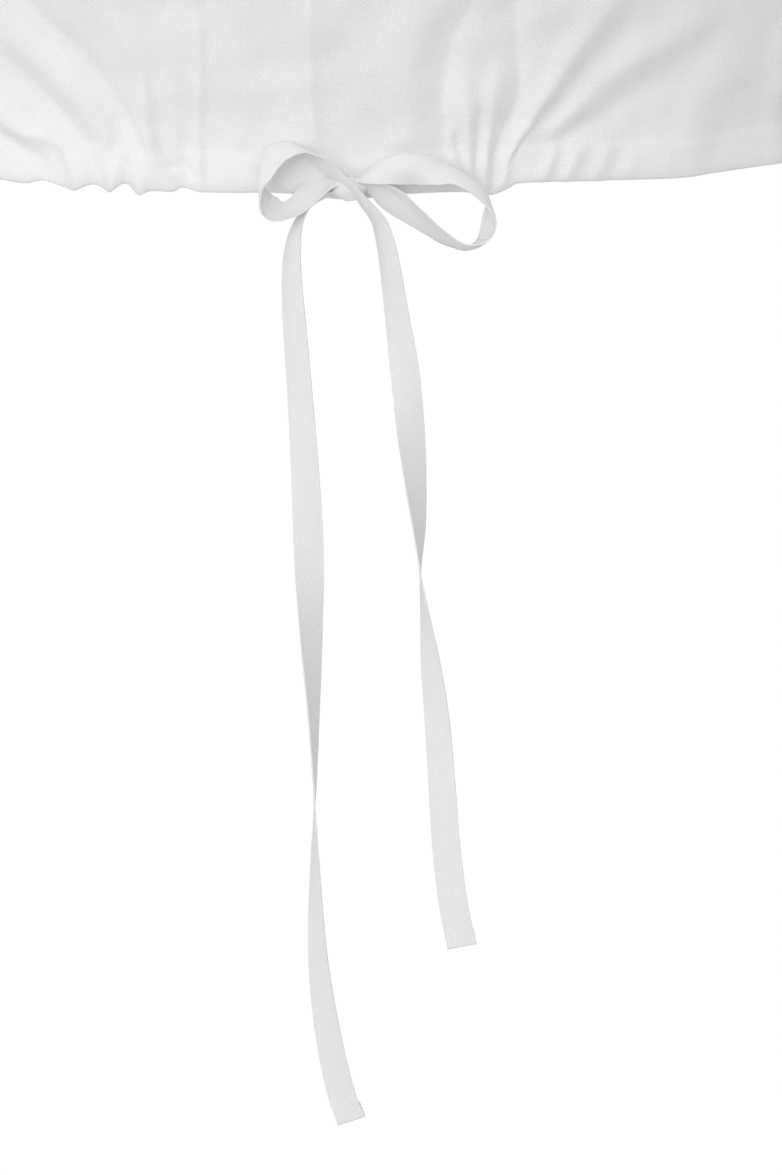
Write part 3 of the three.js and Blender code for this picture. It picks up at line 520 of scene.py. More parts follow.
def turned_up(at, line, width, normal, section, behind):
    """Adds the turned-up end: half a circle of one tape thickness, then END_HEM back along the line.
    behind is 1 where the normal points to the back of the tape's end, and −1 where it points away."""
    direction = unit(line[-1] - line[-2])
    back = normal[-1] * behind
    radius = TAPE_THICKNESS * 0.6  # a little over half, so that the two layers don't touch
    turn = np.linspace(0, np.pi, 9)[1:, None]
    bend = line[-1] + radius * (direction * np.sin(turn) + back * (1 - np.cos(turn)))
    run = bend[-1] - direction * np.arange(END_STEP, END_HEM, END_STEP)[:, None]
    round_normals = normal[-1] * np.cos(turn) - behind * direction * np.sin(turn)
    normals = [round_normals, np.repeat(-normal[-1:], len(run), axis=0)]
    added = len(bend) + len(run)
    line = np.vstack([line, bend, run])
    width = np.vstack([width, np.repeat(width[-1:], added, axis=0)])
    section = np.vstack([section, np.zeros((added, 3))])
    return at[0] + length_along(line), line, width, np.vstack([normal, *normals]), section


def tape_piece(name, rows, node=None, behind=0):
    """A length of tape as a shell, with its end turned up where behind isn't 0."""
    points, uv = tape_points(*(turned_up(*rows, behind) if behind else rows))
    piece = fix_thickness(give_thickness(surface(name, points, uv), TAPE_THICKNESS, offset=0))
    return finish_piece(piece, cotton_tape, node)


loop_rows = {"loop_left": strip(FIRST_STRAND, 0, LOOP_ENDS), "loop_right": strip(RIGHT_LOOP)}
tail_rows = {"tail_left": strip(LEFT_TAIL), "tail_right": strip(FIRST_STRAND, TAIL_STARTS)}
for name, rows in loop_rows.items():
    tape_piece(name, rows, f"tape_{name}")
tails = {name: tape_piece(name, rows, f"tape_{name}", behind=-1) for name, rows in tail_rows.items()}
tape_piece("lead_left", strip(LEFT_LEAD), "tape_lead_left")
tape_piece("lead_right", strip(RIGHT_LEAD), "tape_lead_right")

# %% [markdown]
# ## The knot
# Inside a knot the tape is squeezed to half its width. What shows is one strand that crosses the front on
# the slant, from the left loop to the right tail, over a small hard core.


# %% The knot
CORE_SHARE = 0.92  # the core is a little smaller than the sizes in KNOT
FURROWS, FURROW_DEPTH = 5, 0.05


def knot_core():
    """Point = centre + half sizes · (sin a·cos b, sin a·sin b, cos a), with shallow furrows that wind round
    it: the radius is share·(1 + depth·cos (furrows·a + b))."""
    pole = 0.02  # the ball stays open by this angle at its two ends
    polar, around = np.meshgrid(np.linspace(pole, np.pi - pole, 40), np.linspace(0, 2 * np.pi, 64)[:-1],
                                indexing="ij")
    radius = 1 + FURROW_DEPTH * np.cos(FURROWS * polar + around)
    sizes = np.array([KNOT["wide"], KNOT["deep"], KNOT["high"]]) * CORE_SHARE
    centre = np.array([KNOT["x"], HEM_Y - KNOT["out"], HEM_Z + KNOT["h"]])
    ball = np.stack([np.sin(polar) * np.cos(around), np.sin(polar) * np.sin(around), np.cos(polar)], axis=2)
    points = (centre + sizes * radius[..., None] * ball)[::-1]
    around_uv = np.hstack([around, np.full((len(around), 1), 2 * np.pi)])
    uv = np.stack(np.broadcast_arrays(around_uv * KNOT["wide"], polar[:, :1] * KNOT["high"]), axis=2) * MM
    return surface("knot", points, uv[::-1], round_columns=True)


finish_piece(knot_core(), cotton_tape, "tape_knot")
tape_piece("knot_band", strip(FIRST_STRAND, LOOP_ENDS, TAIL_STARTS))

# %% [markdown]
# ## The body
# A front and a back are cut alike, wider than the body, and gathered by the tape. Their plain form is a
# rounded tube, given by its width and depth at each height, with the armholes cut out of its sides and a
# shoulder line above. Folds are then laid on that form one by one.

# %% The plain form of the body
SECTION_Z, HALF_WIDTH, FRONT_REACH, BACK_REACH = np.array([
    (-385, 166, 111, 104), (-371, 166, 112, 105), (-345, 170, 119, 109), (-300, 173, 133, 112),
    (-245, 172, 141, 111), (-190, 169, 133, 108), (-120, 168, 116, 103), (-60, 168, 106, 97),
    (20, 168, 100, 92),
], float).T
ARMHOLE_Z, ARMHOLE_REACH = np.array([  # how far round a panel goes there, in degrees
    (-190, 90), (-186, 84.5), (-178, 80.5), (-160, 74.5), (-130, 67), (-100, 63.5), (-70, 65), (-45, 70),
    (-30, 75), (-22, 79),
]).T
NECK_HALF_WIDTH, SHOULDER_FALL, SHOULDER_RIDGE, UNDERARM_Z = 95, 0.314, 110, -190
NECK_DROP = {-1: 165, 1: 75}
BUST_X, BUST_Z, BUST_SIZE, BUST_OUT = 78, -238, 62, 9
FRONT, BACK = -1, 1


def angle_of(s, z):
    """Degrees round from the middle: 90·s − (90 − reach)·s·|s|, for a share s of the panel's half."""
    return 90 * s - (90 - through(ARMHOLE_Z, ARMHOLE_REACH, z)) * s * np.abs(s)


def shoulder_line(x):
    """Height of the shoulder seam over x. It falls from the neck outwards."""
    return -(np.abs(x) - NECK_HALF_WIDTH) * SHOULDER_FALL


def form_point(side, s, z):
    """x = half width·sin angle, y = ±(reach + bust)·cos angle. Near the shoulder line the reach shrinks to
    nothing as (1 − (1 − b)²) to the power 0.6, where b is the share of the ridge's depth below it."""
    angle = np.radians(angle_of(s, z))
    x = through(SECTION_Z, HALF_WIDTH, z) * np.sin(angle)
    below = np.clip((shoulder_line(x) - z) / SHOULDER_RIDGE, 0, 1)
    reach = through(SECTION_Z, FRONT_REACH if side == FRONT else BACK_REACH, z)
    reach = reach * (1 - (1 - below) ** 2) ** 0.6
    if side == FRONT:
        reach = reach + BUST_OUT * bell(np.hypot(np.abs(x) - BUST_X, z - BUST_Z), BUST_SIZE)
    return np.stack(np.broadcast_arrays(x, side * reach * np.cos(angle), z), axis=-1)


def form_normal(side, s, z):
    """The cross product of a short step across the form and a short step up it."""
    across = form_point(side, s + 0.002, z) - form_point(side, s - 0.002, z)
    up = form_point(side, s, z) - form_point(side, s, z - 0.01)
    return unit(np.cross(across, up)) * -side


all_shares = np.linspace(0, 1, 2001)
NECK_SHARE = np.interp(NECK_HALF_WIDTH, form_point(BACK, all_shares, 0 * all_shares)[:, 0], all_shares)


def top_of(side, s):
    """Height of the upper edge: −drop·(1 − q^2.6)^0.8 at the neck, q being the share of the way from the
    middle to the shoulder seam, and the shoulder line beyond."""
    neckline = -NECK_DROP[side] * (1 - np.minimum(np.abs(s) / NECK_SHARE, 1) ** 2.6) ** 0.8
    z = np.full(s.shape, -10.0)
    for _ in range(30):  # each pass brings z nearer to the shoulder line over its own x
        z = shoulder_line(form_point(side, s, z)[..., 0])
    return np.where(np.abs(s) < NECK_SHARE, neckline, z)


print("the shoulder seam meets the neck at share", round(float(NECK_SHARE), 3))

# %% [markdown]
# ## Folds
# The tape pulls the cloth together at two places of the front, and folds fan out from them: ridges with
# valleys between. A fold is a line with a bell-shaped section. It may be steeper on one side, as a real
# fold is that leans over.

# %% The line and section of a fold
Fold = namedtuple("Fold", "x h left right lift crisp", defaults=(0,))  # left and right are half widths
CREASE_ROUND = 0.5


def fold_lift(stations, x, h):
    """lift·e^−(d/w)², where d is the distance from the fold's line and w the half width on that side. A
    crisp share of it is lift·e^−(d/w) instead, which has an edge along the line, rounded by CREASE_ROUND.
    The nearest of 60 samples of the line is found first, then the point that faces the place exactly."""
    values = np.array([Fold(*row) for row in stations], float).T
    knots = length_along(values[:2].T)
    at = np.linspace(0, knots[-1], 60)
    line = np.stack([through(knots, row, at) for row in values[:2]])
    tangent = np.gradient(line, axis=1)
    tangent /= np.hypot(*tangent)
    near = np.argmin((x[..., None] - line[0]) ** 2 + (h[..., None] - line[1]) ** 2, axis=-1)
    ahead = (x - line[0][near]) * tangent[0][near] + (h - line[1][near]) * tangent[1][near]
    place = at[near] + ahead
    centre_x, centre_h, left, right, lift, crisp = (through(knots, row, place) for row in values)
    way_x, way_h = (np.interp(place, at, row) for row in tangent)
    aside = (x - centre_x) * way_h - (h - centre_h) * way_x
    beyond = np.maximum(place - knots[-1], 0) + np.maximum(-place, 0)
    downwards = np.sign(values[1][0] - values[1][-1])
    width = np.where(aside * downwards < 0, right, left)
    tent = np.exp((CREASE_ROUND - np.hypot(aside, CREASE_ROUND)) / width)
    return lift * mix(bell(aside, width), tent, crisp) * bell(beyond, np.maximum(width, 1))


# %% Folds that fan out from the left gather
LEFT_FAN = [
    # the longest valley, with a crisp bottom
    [(-126, 92, 14, 9, 0), (-110, 65, 11, 6, -2.4, 0.6), (-103.3, 56.9, 10, 5, -2.9, 0.7),
     (-90, 44.8, 8, 3.6, -3.2, 0.8), (-81.3, 32.7, 6, 3, -3, 0.8), (-76.7, 25.9, 4.5, 2.6, -2.6, 0.8),
     (-71.3, 17.8, 2.8, 2, -1.8, 0.7), (-67.8, 12, 1.8, 1.4, -0.8, 0.4)],
    # the ridge to the left of it
    [(-124, 66, 9, 8, 0), (-112, 50, 7, 6, 1.6), (-101.3, 40.7, 6, 5, 2.2), (-94.7, 34.7, 5.5, 4.5, 2.4),
     (-88.7, 29, 5, 4, 2.2), (-85.5, 22.6, 4, 3, 1.9), (-82, 16, 2.6, 2, 1)],
    # the next valley to the left
    [(-130, 60, 10, 8, 0), (-121, 48, 10, 6, -1.6, 0.4), (-112.7, 38.7, 9, 5, -2.6, 0.5),
     (-103.3, 29.3, 7, 4.6, -2.9, 0.5), (-94.7, 21.9, 5, 4, -2.4, 0.4), (-88.7, 15.2, 3.4, 3, -1.4, 0.2)],
    # the ridge above the casing, and the valley below it
    [(-134, 36, 8, 8, 0), (-124, 28, 6, 5, 1.6, 0.3), (-116.7, 22.5, 5, 4, 3, 0.5),
     (-110, 17.8, 4, 3, 2.6, 0.6), (-103.3, 15.6, 3, 2.4, 2, 0.5), (-97, 14, 2, 1.6, 0.9)],
    [(-128, 22, 6, 5, 0), (-117.5, 15, 5, 3.4, -2.6, 0.4), (-111, 12, 4.4, 2.6, -2.6, 0.4),
     (-104.7, 9, 3.6, 2.4, -1.6, 0.3), (-100, 3, 3, 2.6, -1.2)],
    # the crisp ridge that ends in a small flat corner, and what lies beside it
    [(-86, 86, 9, 8, 0), (-80, 66, 7, 4, 0.8, 0.3), (-76.7, 56.9, 6, 3, 1.4, 0.5),
     (-71.3, 44.8, 5, 2.4, 2, 0.7), (-68, 36, 4, 2.2, 2.2, 0.8), (-67.3, 22.6, 3, 2, 2.3, 0.8),
     (-66, 15.2, 2.4, 1.6, 2.2, 0.8), (-63.3, 9.8, 2.6, 1.3, 1.8, 0.7), (-60, 7.2, 2.4, 1.3, 1.4, 0.5),
     (-56, 5, 2, 1.2, 0.6, 0.3)],
    [(-64.4, 19, 1.2, 1.6, 0), (-63.6, 15, 1.2, 1.6, -1.4, 0.3), (-60.6, 10.6, 1.2, 1.8, -2.6, 0.4),
     (-56.5, 7.6, 1.3, 1.8, -2.4, 0.4), (-52.5, 5, 1.3, 1.6, -1)],
    [(-80.3, 25, 1.5, 1.5, 0), (-79.3, 20.5, 1.4, 1.3, -1.4, 0.3), (-77.9, 13.5, 1.2, 1.2, -1.5, 0.3),
     (-77, 9, 1, 1, -0.4)],
    # ripples of the casing
    [(-99, 16, 2.2, 2.2, -0.5), (-96.5, 8, 2.2, 2.2, -1.5), (-95, 1, 2.2, 2.2, -1.5)],
    [(-94, 14, 3.2, 3.2, 0.4), (-91, 7, 3.2, 3.2, 1.4), (-89, 0, 3, 3, 1.5)],
    [(-87, 14, 1.8, 1.8, -0.4), (-84.5, 8, 1.8, 1.8, -1.5), (-82.5, 1, 2, 2, -1.5)],
    [(-80.5, 13, 2.6, 2.6, 0.4), (-79, 6, 2.8, 2.8, 1.5), (-77.5, 0, 2.8, 2.8, 1.5)],
    [(-75.5, 13, 1.5, 1.5, -0.3), (-74.5, 7, 1.7, 1.7, -1.5), (-74, 1, 1.8, 1.8, -1.4)],
    [(-70.5, 10, 2.2, 2.2, 0.4), (-69.5, 5, 2.4, 2.4, 1.4), (-68.5, 0, 2.4, 2.4, 1.5)],
]
print("folds of the left gather:", len(LEFT_FAN))

# %% Folds of the middle
MIDDLE_FOLDS = [
    [(-60, 76, 8, 8, 0), (-59, 50, 5, 5, 0.7), (-58.3, 25, 4, 4, 0.8), (-58, 12, 3, 3, 0)],
    [(-56, 100, 10, 6, 0), (-52, 66, 7, 2.6, 1, 0.5), (-49.7, 45, 5.5, 1.8, 1.3, 0.7),
     (-49.7, 30, 4.5, 1.6, 1.3, 0.7), (-50.4, 22, 3, 1.6, 1.2, 0.5), (-49.8, 10, 2.2, 1.4, 1.2, 0.5),
     (-49.6, 0, 2, 1.3, 0.8, 0.3)],
    [(-55, 24, 3, 3, 0), (-54, 16, 2.6, 1.6, -0.8, 0.3), (-53.5, 5, 2, 1.4, -0.8, 0.3)],
    # the long crisp fold beside the middle
    [(-15, 150, 20, 14, 0), (-13.6, 110, 18, 11, 1.6, 0.6), (-13, 72, 16, 8, 2.3, 0.9),
     (-13, 44, 15, 7, 2.4, 1), (-12.4, 30, 13, 5, 2.1, 1), (-10.9, 20, 8, 2.6, 1.2, 0.9),
     (-9.5, 14, 4, 1.4, 0.3, 0.6)],
    [(26, 92, 12, 10, 0), (22, 60, 10, 7, 1.2), (20.5, 42, 9, 6, 1.4), (19.5, 22, 8, 6, 0.8),
     (20, 10, 6, 6, 0)],
    # the first valley of the right gather, whose right side starts at an edge
    [(50, 92, 8, 6, 0), (40.7, 65, 7, 4, -2, 0.5), (34, 51.5, 7, 4, -2, 0.6), (31.5, 38, 7, 4, -2.2, 0.7),
     (30.8, 26, 6, 3.4, -2.3, 0.7), (31.8, 15, 5, 2.6, -2, 0.7), (34, 8, 3.6, 2, -1.4, 0.6),
     (36, 2, 3, 2, -0.5)],
]
print("folds of the middle:", len(MIDDLE_FOLDS))

# %% Folds that fan out from the right gather
RIGHT_FAN = [
    [(40, 50, 5, 5, 0), (38.8, 38, 4.5, 4, 1.2), (39.4, 28, 4, 3.2, 1.9), (39.6, 20, 3, 2.4, 1.6),
     (39.6, 10, 2, 1.8, 1.3), (40, 0, 1.6, 1.6, 0.8)],
    [(33.2, 24, 1.5, 1.6, 0), (33.2, 18, 1.4, 1.4, 0.9), (34.4, 12, 1.3, 1.3, 1.1), (36, 4, 1.2, 1.2, 0.6)],
    [(35, 21, 1.2, 1.2, 0), (35.6, 17, 1, 1, -1.3, 0.5), (36.7, 12, 0.9, 0.9, -1.5, 0.5),
     (37.8, 5, 0.9, 0.9, -1.1, 0.4)],
    [(43.4, 30, 2, 2, 0), (42.8, 24, 1.6, 1.2, -1, 0.5), (42.3, 14.5, 1.2, 1, -1.5, 0.6),
     (41.5, 11, 1.1, 1, -1.5, 0.6), (42, 4, 1, 1, -1.3, 0.5)],
    [(49, 44, 5, 4, 0), (48, 34, 4, 3, 1.3), (47, 24, 2.8, 2.3, 1.7), (45.3, 14, 1.7, 1.5, 1.9),
     (44.7, 4, 1.4, 1.3, 1.4)],
    # the deep valley that runs into the gather
    [(56, 84, 6, 5, 0), (55.3, 65, 5.5, 3.6, -1.8, 0.5), (56, 46, 5, 3.4, -2, 0.6),
     (56.5, 35, 4, 3, -2.2, 0.7), (54.6, 26, 3, 2.4, -2.3, 0.7), (50.7, 19, 2, 1.7, -2.3, 0.7),
     (48, 13, 1.3, 1.2, -2.2, 0.7), (47.2, 5, 1.1, 1, -1.6, 0.6), (47, 0, 1, 1, -1, 0.4)],
    # three long ridges and valleys, each further right and lower
    [(101, 86, 12, 10, 0), (87.3, 65, 8, 6, 2.4, 0.4), (75.3, 47.5, 6, 6, 2.6, 0.2),
     (69.4, 38.5, 5, 5, 2.8, 0.2), (62, 26.5, 3.8, 3.8, 2.6, 0.3), (57.6, 18, 2.6, 2.2, 2.4, 0.4),
     (53, 10, 1.8, 1.6, 1.8, 0.3), (50.5, 3, 1.6, 1.5, 1)],
    [(60, 20, 1.3, 1.3, 0), (58, 16.5, 1.1, 1.1, -1.3, 0.4), (54.6, 11, 1, 1, -1.6, 0.4),
     (52.6, 8, 0.9, 0.9, -0.6)],
    [(104, 68, 8, 8, 0), (91, 52, 7, 6, -1.2, 0.1), (79, 40, 6, 5, -1.8, 0.1), (72, 31.5, 5, 4, -1.8, 0.1),
     (65, 23.5, 3.2, 2.6, -1.5, 0.2), (60.6, 19, 1.8, 1.6, -0.7)],
    [(128, 66, 10, 9, 0), (110, 51, 8, 8, 1.4), (92, 40.4, 6, 8, 1.5), (82, 31.6, 5, 7, 1.7),
     (73.3, 24.5, 3.6, 5, 1.5), (67.5, 19, 2.2, 3, 0.8)],
    [(136, 60, 10, 9, 0), (124, 48, 10, 8, -1.6), (110, 38.4, 9, 7, -2.3, 0.1), (96.7, 32, 8, 6, -2.6, 0.1),
     (86.7, 25.4, 7, 5, -2.6, 0.1), (77, 18.6, 5, 3.4, -2, 0.2), (70.5, 14.6, 3, 2, -1)],
    [(148, 54, 12, 12, 0), (128, 36, 16, 16, 1.3), (116, 18, 14, 14, 1), (110, 4, 10, 10, 0.3)],
    # ripples of the casing
    [(69, 14, 2.4, 2.4, 0.3), (66.7, 9, 2.3, 2.3, 1.3), (64, 2, 2.3, 2.3, 1)],
    [(76.5, 15, 3, 3, 0.3), (74, 9, 2.8, 2.8, 1.3), (71.5, 2, 2.6, 2.6, 0.9)],
    [(86, 14, 3, 3, 0.2), (84, 8, 2.8, 2.8, 1), (81.5, 2, 2.6, 2.6, 0.7)],
    [(95.5, 12, 3, 3, 0.1), (93, 7, 2.8, 2.8, 0.5), (90, 2, 2.6, 2.6, 0.4)],
]
print("folds of the right gather:", len(RIGHT_FAN))

# %% [markdown]
# The back and the sides aren't gathered as tightly. Their folds are of the same kind, softer and further
# apart. Cloth that has been worn is also never quite flat between its folds, so many weak waves in all
# directions are added everywhere.

# %% Folds of the back, and weak waves everywhere
def fan(centre, reach, tops, lift):
    """A ridge for each of tops, from the gather at centre to that x at the height reach. Every second ridge
    is weaker and only every third has the full height, so that they don't look alike."""
    folds = []
    for k, top in enumerate(tops):
        foot, middle = centre + (top - centre) * 0.16, centre + (top - centre) * 0.5
        tall, strong = reach * (1 - 0.09 * (k % 3)), lift * (1 - 0.22 * (k % 2))
        folds.append([(foot, 1, 3, 3, strong * 0.6), (mix(foot, middle, 0.4), 14, 3.4, 3.4, strong),
                      (middle, tall * 0.5, 6.5, 5.5, strong * 0.9), (top, tall, 10, 10, 0)])
    return folds


BACK_FOLDS = (fan(-72, 130, (-132, -112, -92, -75, -58, -38), 2.6)
              + fan(68, 120, (34, 52, 70, 90, 110, 134), 2.5) + fan(-6, 90, (-16, 3), 1.3))
SIDE_FOLDS = [
    [(-150, 120, 8, 8, 0), (-146, 70, 6, 5, 2.2), (-141, 26, 4, 3.4, 1.8), (-138, 3, 3, 3, 0.8)],
    [(150, 110, 8, 8, 0), (147, 64, 6, 5, 2), (143, 24, 4, 3.4, 1.4), (141, 3, 3, 3, 0.6)],
    [(-128, 190, 12, 12, 0), (-120, 150, 10, 8, 2.4), (-116, 108, 8, 8, 0)],
    [(124, 200, 12, 12, 0), (118, 160, 10, 8, 2.4), (106, 112, 8, 8, 0)],
    [(60, 150, 12, 12, 0), (48, 118, 10, 9, 1.8), (40, 90, 8, 8, 0)],
]
FRONT_FOLDS = LEFT_FAN + MIDDLE_FOLDS + RIGHT_FAN + SIDE_FOLDS


def weak_waves(x, y, z, shortest=9.0, longest=48.0, height=0.22, seed=5):
    """The sum of 26 sine waves in random directions, with lengths from shortest to longest. Each is as high
    as its length times height / longest."""
    random = np.random.default_rng(seed)
    total = np.zeros(np.shape(z))
    for length in np.geomspace(shortest, longest, 26):
        way = unit(random.normal(size=3)) * 2 * np.pi / length
        start = random.uniform(0, 2 * np.pi)
        total += height * length / longest * np.sin(way[0] * x + way[1] * y + way[2] * z + start)
    return total


print("folds in all:", len(FRONT_FOLDS) + len(BACK_FOLDS))

# %% [markdown]
# ## The casing and the hem's edge
# The hem is turned up 14 mm inside and sewn. The channel between the two layers holds the tape, so it
# bulges a little. Where the tape gathers it, the lower edge goes up and down in scallops.

# %% Sizes of the casing
CASING = 14.0
CASING_BULGE = 0.7
SEAM_ABOVE = 0.6  # the stitches lie this far above the turned-up edge
SEAM_GROOVE, PUCKER_HEIGHT, PUCKER_LENGTH = 0.12, 0.07, 2.9
CASING_FLARE = 2.0  # the doubled edge is stiffer than the cloth above, and stands out a little
HEM_ROUND = 1.1  # radius of the turned edge
FLAP_SHORT = 0.8  # the turned-up edge ends this far below the casing's height
SEAM_DIP, SEAM_WIDTH = 0.7, 2.0  # the furrow that a seam pulls into the cloth
LINEN_THICKNESS = 0.5
FRONT_HEM_X, FRONT_HEM_DROP = np.array([  # how far the edge hangs below level at each x
    (-166, 0), (-117, -0.7), (-108, 0), (-102, -1.3), (-92, 1.4), (-85.5, -0.9), (-80, 1.5), (-75, -1.6),
    (-70, 1.8), (-66.5, 0.5), (-58.5, 0.4), (-56, -1), (-49, 0.3), (-30, 0.2), (-14, 0.6), (-4, 2),
    (5, 1.9), (14, 0.5), (40, 0.3), (46.5, 1.5), (51, 0), (56, -2.4), (80, -2.3), (110, -1.9), (143, -3.2),
    (166, -3.4),
]).T
BACK_HEM_X, BACK_HEM_DROP = np.array([(-166, 0), (-70, 1.2), (10, 0.2), (84, -0.6), (166, -3.4)]).T


def hem_drop(side, x, h):
    """How far the edge hangs below level, fading out at three times the casing's height."""
    table = (FRONT_HEM_X, FRONT_HEM_DROP) if side == FRONT else (BACK_HEM_X, BACK_HEM_DROP)
    return through(*table, x) * (1 - smooth(h, 0, 3 * CASING))


def seam_dip(s, z, form):
    """A shallow furrow along the side seams and armholes: 0.7·e^−(d / 2 mm)², where d is the distance in x
    from the panel's edge, plus 40·(1 − |s|) because x hardly changes there."""
    edge = form_point(FRONT, np.sign(s), z)
    return SEAM_DIP * bell(np.abs(form - edge)[..., 0] + 40 * (1 - np.abs(s)), SEAM_WIDTH)


def cloth_point(side, s, z, depth=0.0):
    """A point of the sewn cloth: the plain form, plus along its normal the folds, the weak waves, the
    casing's bulge and its stitched groove, less depth. The hem's drop comes off its height."""
    form, normal = form_point(side, s, z), form_normal(side, s, z)
    x, h = form[..., 0], z - HEM_Z
    edge = np.abs(s) > 0.9999
    normal[..., 1] = np.where(edge & (z <= UNDERARM_Z), 0, normal[..., 1])
    normal = unit(normal)
    folds = np.zeros(z.shape)
    for stations in FRONT_FOLDS if side == FRONT else BACK_FOLDS:
        folds += fold_lift(stations, x, h)
    near_side = smooth(np.abs(s), 0.86, 1)
    folds *= (1 - near_side * smooth(z, UNDERARM_Z - 30, UNDERARM_Z)) * mix(1, 0.2, near_side)
    waves = weak_waves(*np.moveaxis(form, -1, 0)) * (1 - near_side)
    casing = smooth(h, -1, 4) * (1 - smooth(h, CASING - 4, CASING + 2))  # 1 where the tape fills it
    pucker = PUCKER_HEIGHT * np.sin(2 * np.pi * x / PUCKER_LENGTH + np.sin(x / 11)) * bell(h - CASING, 2.4)
    flare = CASING_FLARE * (1 - smooth(h, 0, 1.7 * CASING))
    groove = SEAM_GROOVE * bell(h - CASING - SEAM_ABOVE, 0.9)
    sewn = CASING_BULGE * casing + flare - groove + pucker
    lift = folds + waves + sewn - seam_dip(s, z, form) - depth
    point = form + normal * lift[..., None]
    point[..., 2] -= hem_drop(side, x, h)
    return point, form


# %% [markdown]
# A panel is one grid. Its rows start inside, at the top of the turned-up hem, go down to the edge, round
# it, and up the outside to the neck and shoulder. Rows and columns lie closest together where the folds are
# small, at the two gathers and in the casing.

# %% Panels
def spaced(stops, counts):
    """Values from the first stop to the last, with counts[k] equal steps from stop k to the next."""
    parts = [np.linspace(a, b, count, endpoint=False) for a, b, count in zip(stops[:-1], stops[1:], counts)]
    return np.append(np.concatenate(parts), stops[-1])


def panel(name, side, across, level, upper, node):
    """across gives x of the columns at the hem, level the rows' heights up to the bust, and upper the shares
    of the way from there to the upper edge."""
    s = np.arcsin(across / HALF_WIDTH[0]) / (np.pi / 2)
    if side == BACK:
        s = s[::-1]
    flap = np.linspace(CASING - FLAP_SHORT, HEM_ROUND, 7)
    bend = np.linspace(0, np.pi, 7)[1:-1]
    heights = np.concatenate([flap, HEM_ROUND * (1 - np.sin(bend)), level])
    depths = np.concatenate([2 * HEM_ROUND + 0 * flap, HEM_ROUND * (1 + np.cos(bend)), 0 * level])
    rise = top_of(side, s) - (HEM_Z + level[-1])
    z = np.vstack([np.repeat(HEM_Z + heights[:, None], len(s), axis=1),
                   HEM_Z + level[-1] + upper[:, None] * rise])
    depth = np.repeat(np.concatenate([depths, np.zeros(len(upper))])[:, None], len(s), axis=1)
    points, form = cloth_point(side, np.broadcast_to(s, z.shape), z, depth)
    points[-1, np.abs(s) > NECK_SHARE, 1] = 0
    middle = slice(len(s) // 2, len(s) // 2 + 1)
    u, v = length_along(form, axis=1), length_along(points)[:, middle]
    uv = np.stack(np.broadcast_arrays(u - u[:, middle], v), axis=2) * MM
    piece = give_thickness(surface(name, points, uv), LINEN_THICKNESS)
    return finish_piece(piece, linen_cloth, node)


UPPER = 1 - (1 - np.linspace(1 / 34, 1, 34)) ** 1.5
front_cloth = panel(
    "front_cloth", FRONT,
    spaced((-166, -124, -110, -44, -16, -8, 26, 96, 150, 166), (22, 10, 82, 18, 14, 22, 86, 30, 9)),
    spaced((HEM_ROUND, 17, 44, 76, 170), (20, 28, 22, 24)), UPPER, "front")
back_cloth = panel(
    "back_cloth", BACK, spaced((-166, 166), (200,)),
    spaced((HEM_ROUND, 17, 60, 170), (12, 16, 22)), UPPER, "back")

# %% [markdown]
# ## The neckband
# The raw neckline is bound with a narrow straight strip, folded in half over the edge. It is a flattened
# tube that follows the neckline all the way round and stands up from it.

# %% The neckline
def neckline():
    """Points and normals of the neckline, from one shoulder across the front to the other and back."""
    share = np.linspace(-NECK_SHARE, NECK_SHARE, 121)[1:]
    line, normals = [], []
    for side, s in ((FRONT, share), (BACK, -share)):
        z = top_of(side, s)
        z[-1] = 0
        point, normal = form_point(side, s, z), form_normal(side, s, z)
        point[-1, 1] = normal[-1, 1] = 0
        line.append(point)
        normals.append(unit(normal))
    return np.vstack(line), np.vstack(normals)


neck_line, neck_out = neckline()
print("the neckline is", round(float(length_along(neck_line)[-1])), "mm long")

# %% Neckband
NECKBAND_HEIGHT, NECKBAND_THICK, NECKBAND_OVERLAP = 9.0, 2.2, 0.6  # it overlaps the cloth by the last
PROUD = 0.5  # a band's face stands this far out from the line that it follows


def round_loop(points, axis=0):
    """The next point minus the last one, on a line that closes on itself."""
    return np.roll(points, -1, axis=axis) - np.roll(points, 1, axis=axis)


def flat_tube(line, up, out, height, thick, start, count=20):
    """A closed section round a line, nearly a rectangle with round corners: up by start +
    height/2·(1 − cos a to the power 0.8), and out by thick/2·(sin a to the power 0.6 − 1) + PROUD."""
    angle = np.linspace(0, 2 * np.pi, count + 1)[:-1, None, None]
    rounded = np.sign(np.sin(angle)) * np.abs(np.sin(angle)) ** 0.6
    rise = np.sign(np.cos(angle)) * np.abs(np.cos(angle)) ** 0.8
    return line + up * (start + height / 2 * (1 - rise)) + out * (thick / 2 * rounded - thick / 2 + PROUD)


def tube_uv(points):
    """u along the tube and v round its section, in metres."""
    closed = np.concatenate([points, points[:1]])
    closed = np.concatenate([closed, closed[:, :1]], axis=1)
    return np.stack(np.meshgrid(length_along(closed[0]), length_along(closed[:, 0])), axis=2) * MM


neck_up = unit(np.cross(neck_out, unit(round_loop(neck_line))))
neck_points = flat_tube(neck_line, neck_up, neck_out, NECKBAND_HEIGHT, NECKBAND_THICK, -NECKBAND_OVERLAP)
neck_band = surface("neck_band", neck_points, tube_uv(neck_points), round_columns=True, round_rows=True)
finish_piece(neck_band, linen_cloth, "neckband")

# %% [markdown]
# ## Sleeves and cuffs
# A puff sleeve is cut much wider than the armhole and the cuff, and gathered into both. Each line down the
# sleeve is a curve that leaves the armhole outwards, swells, and turns in to the cuff.

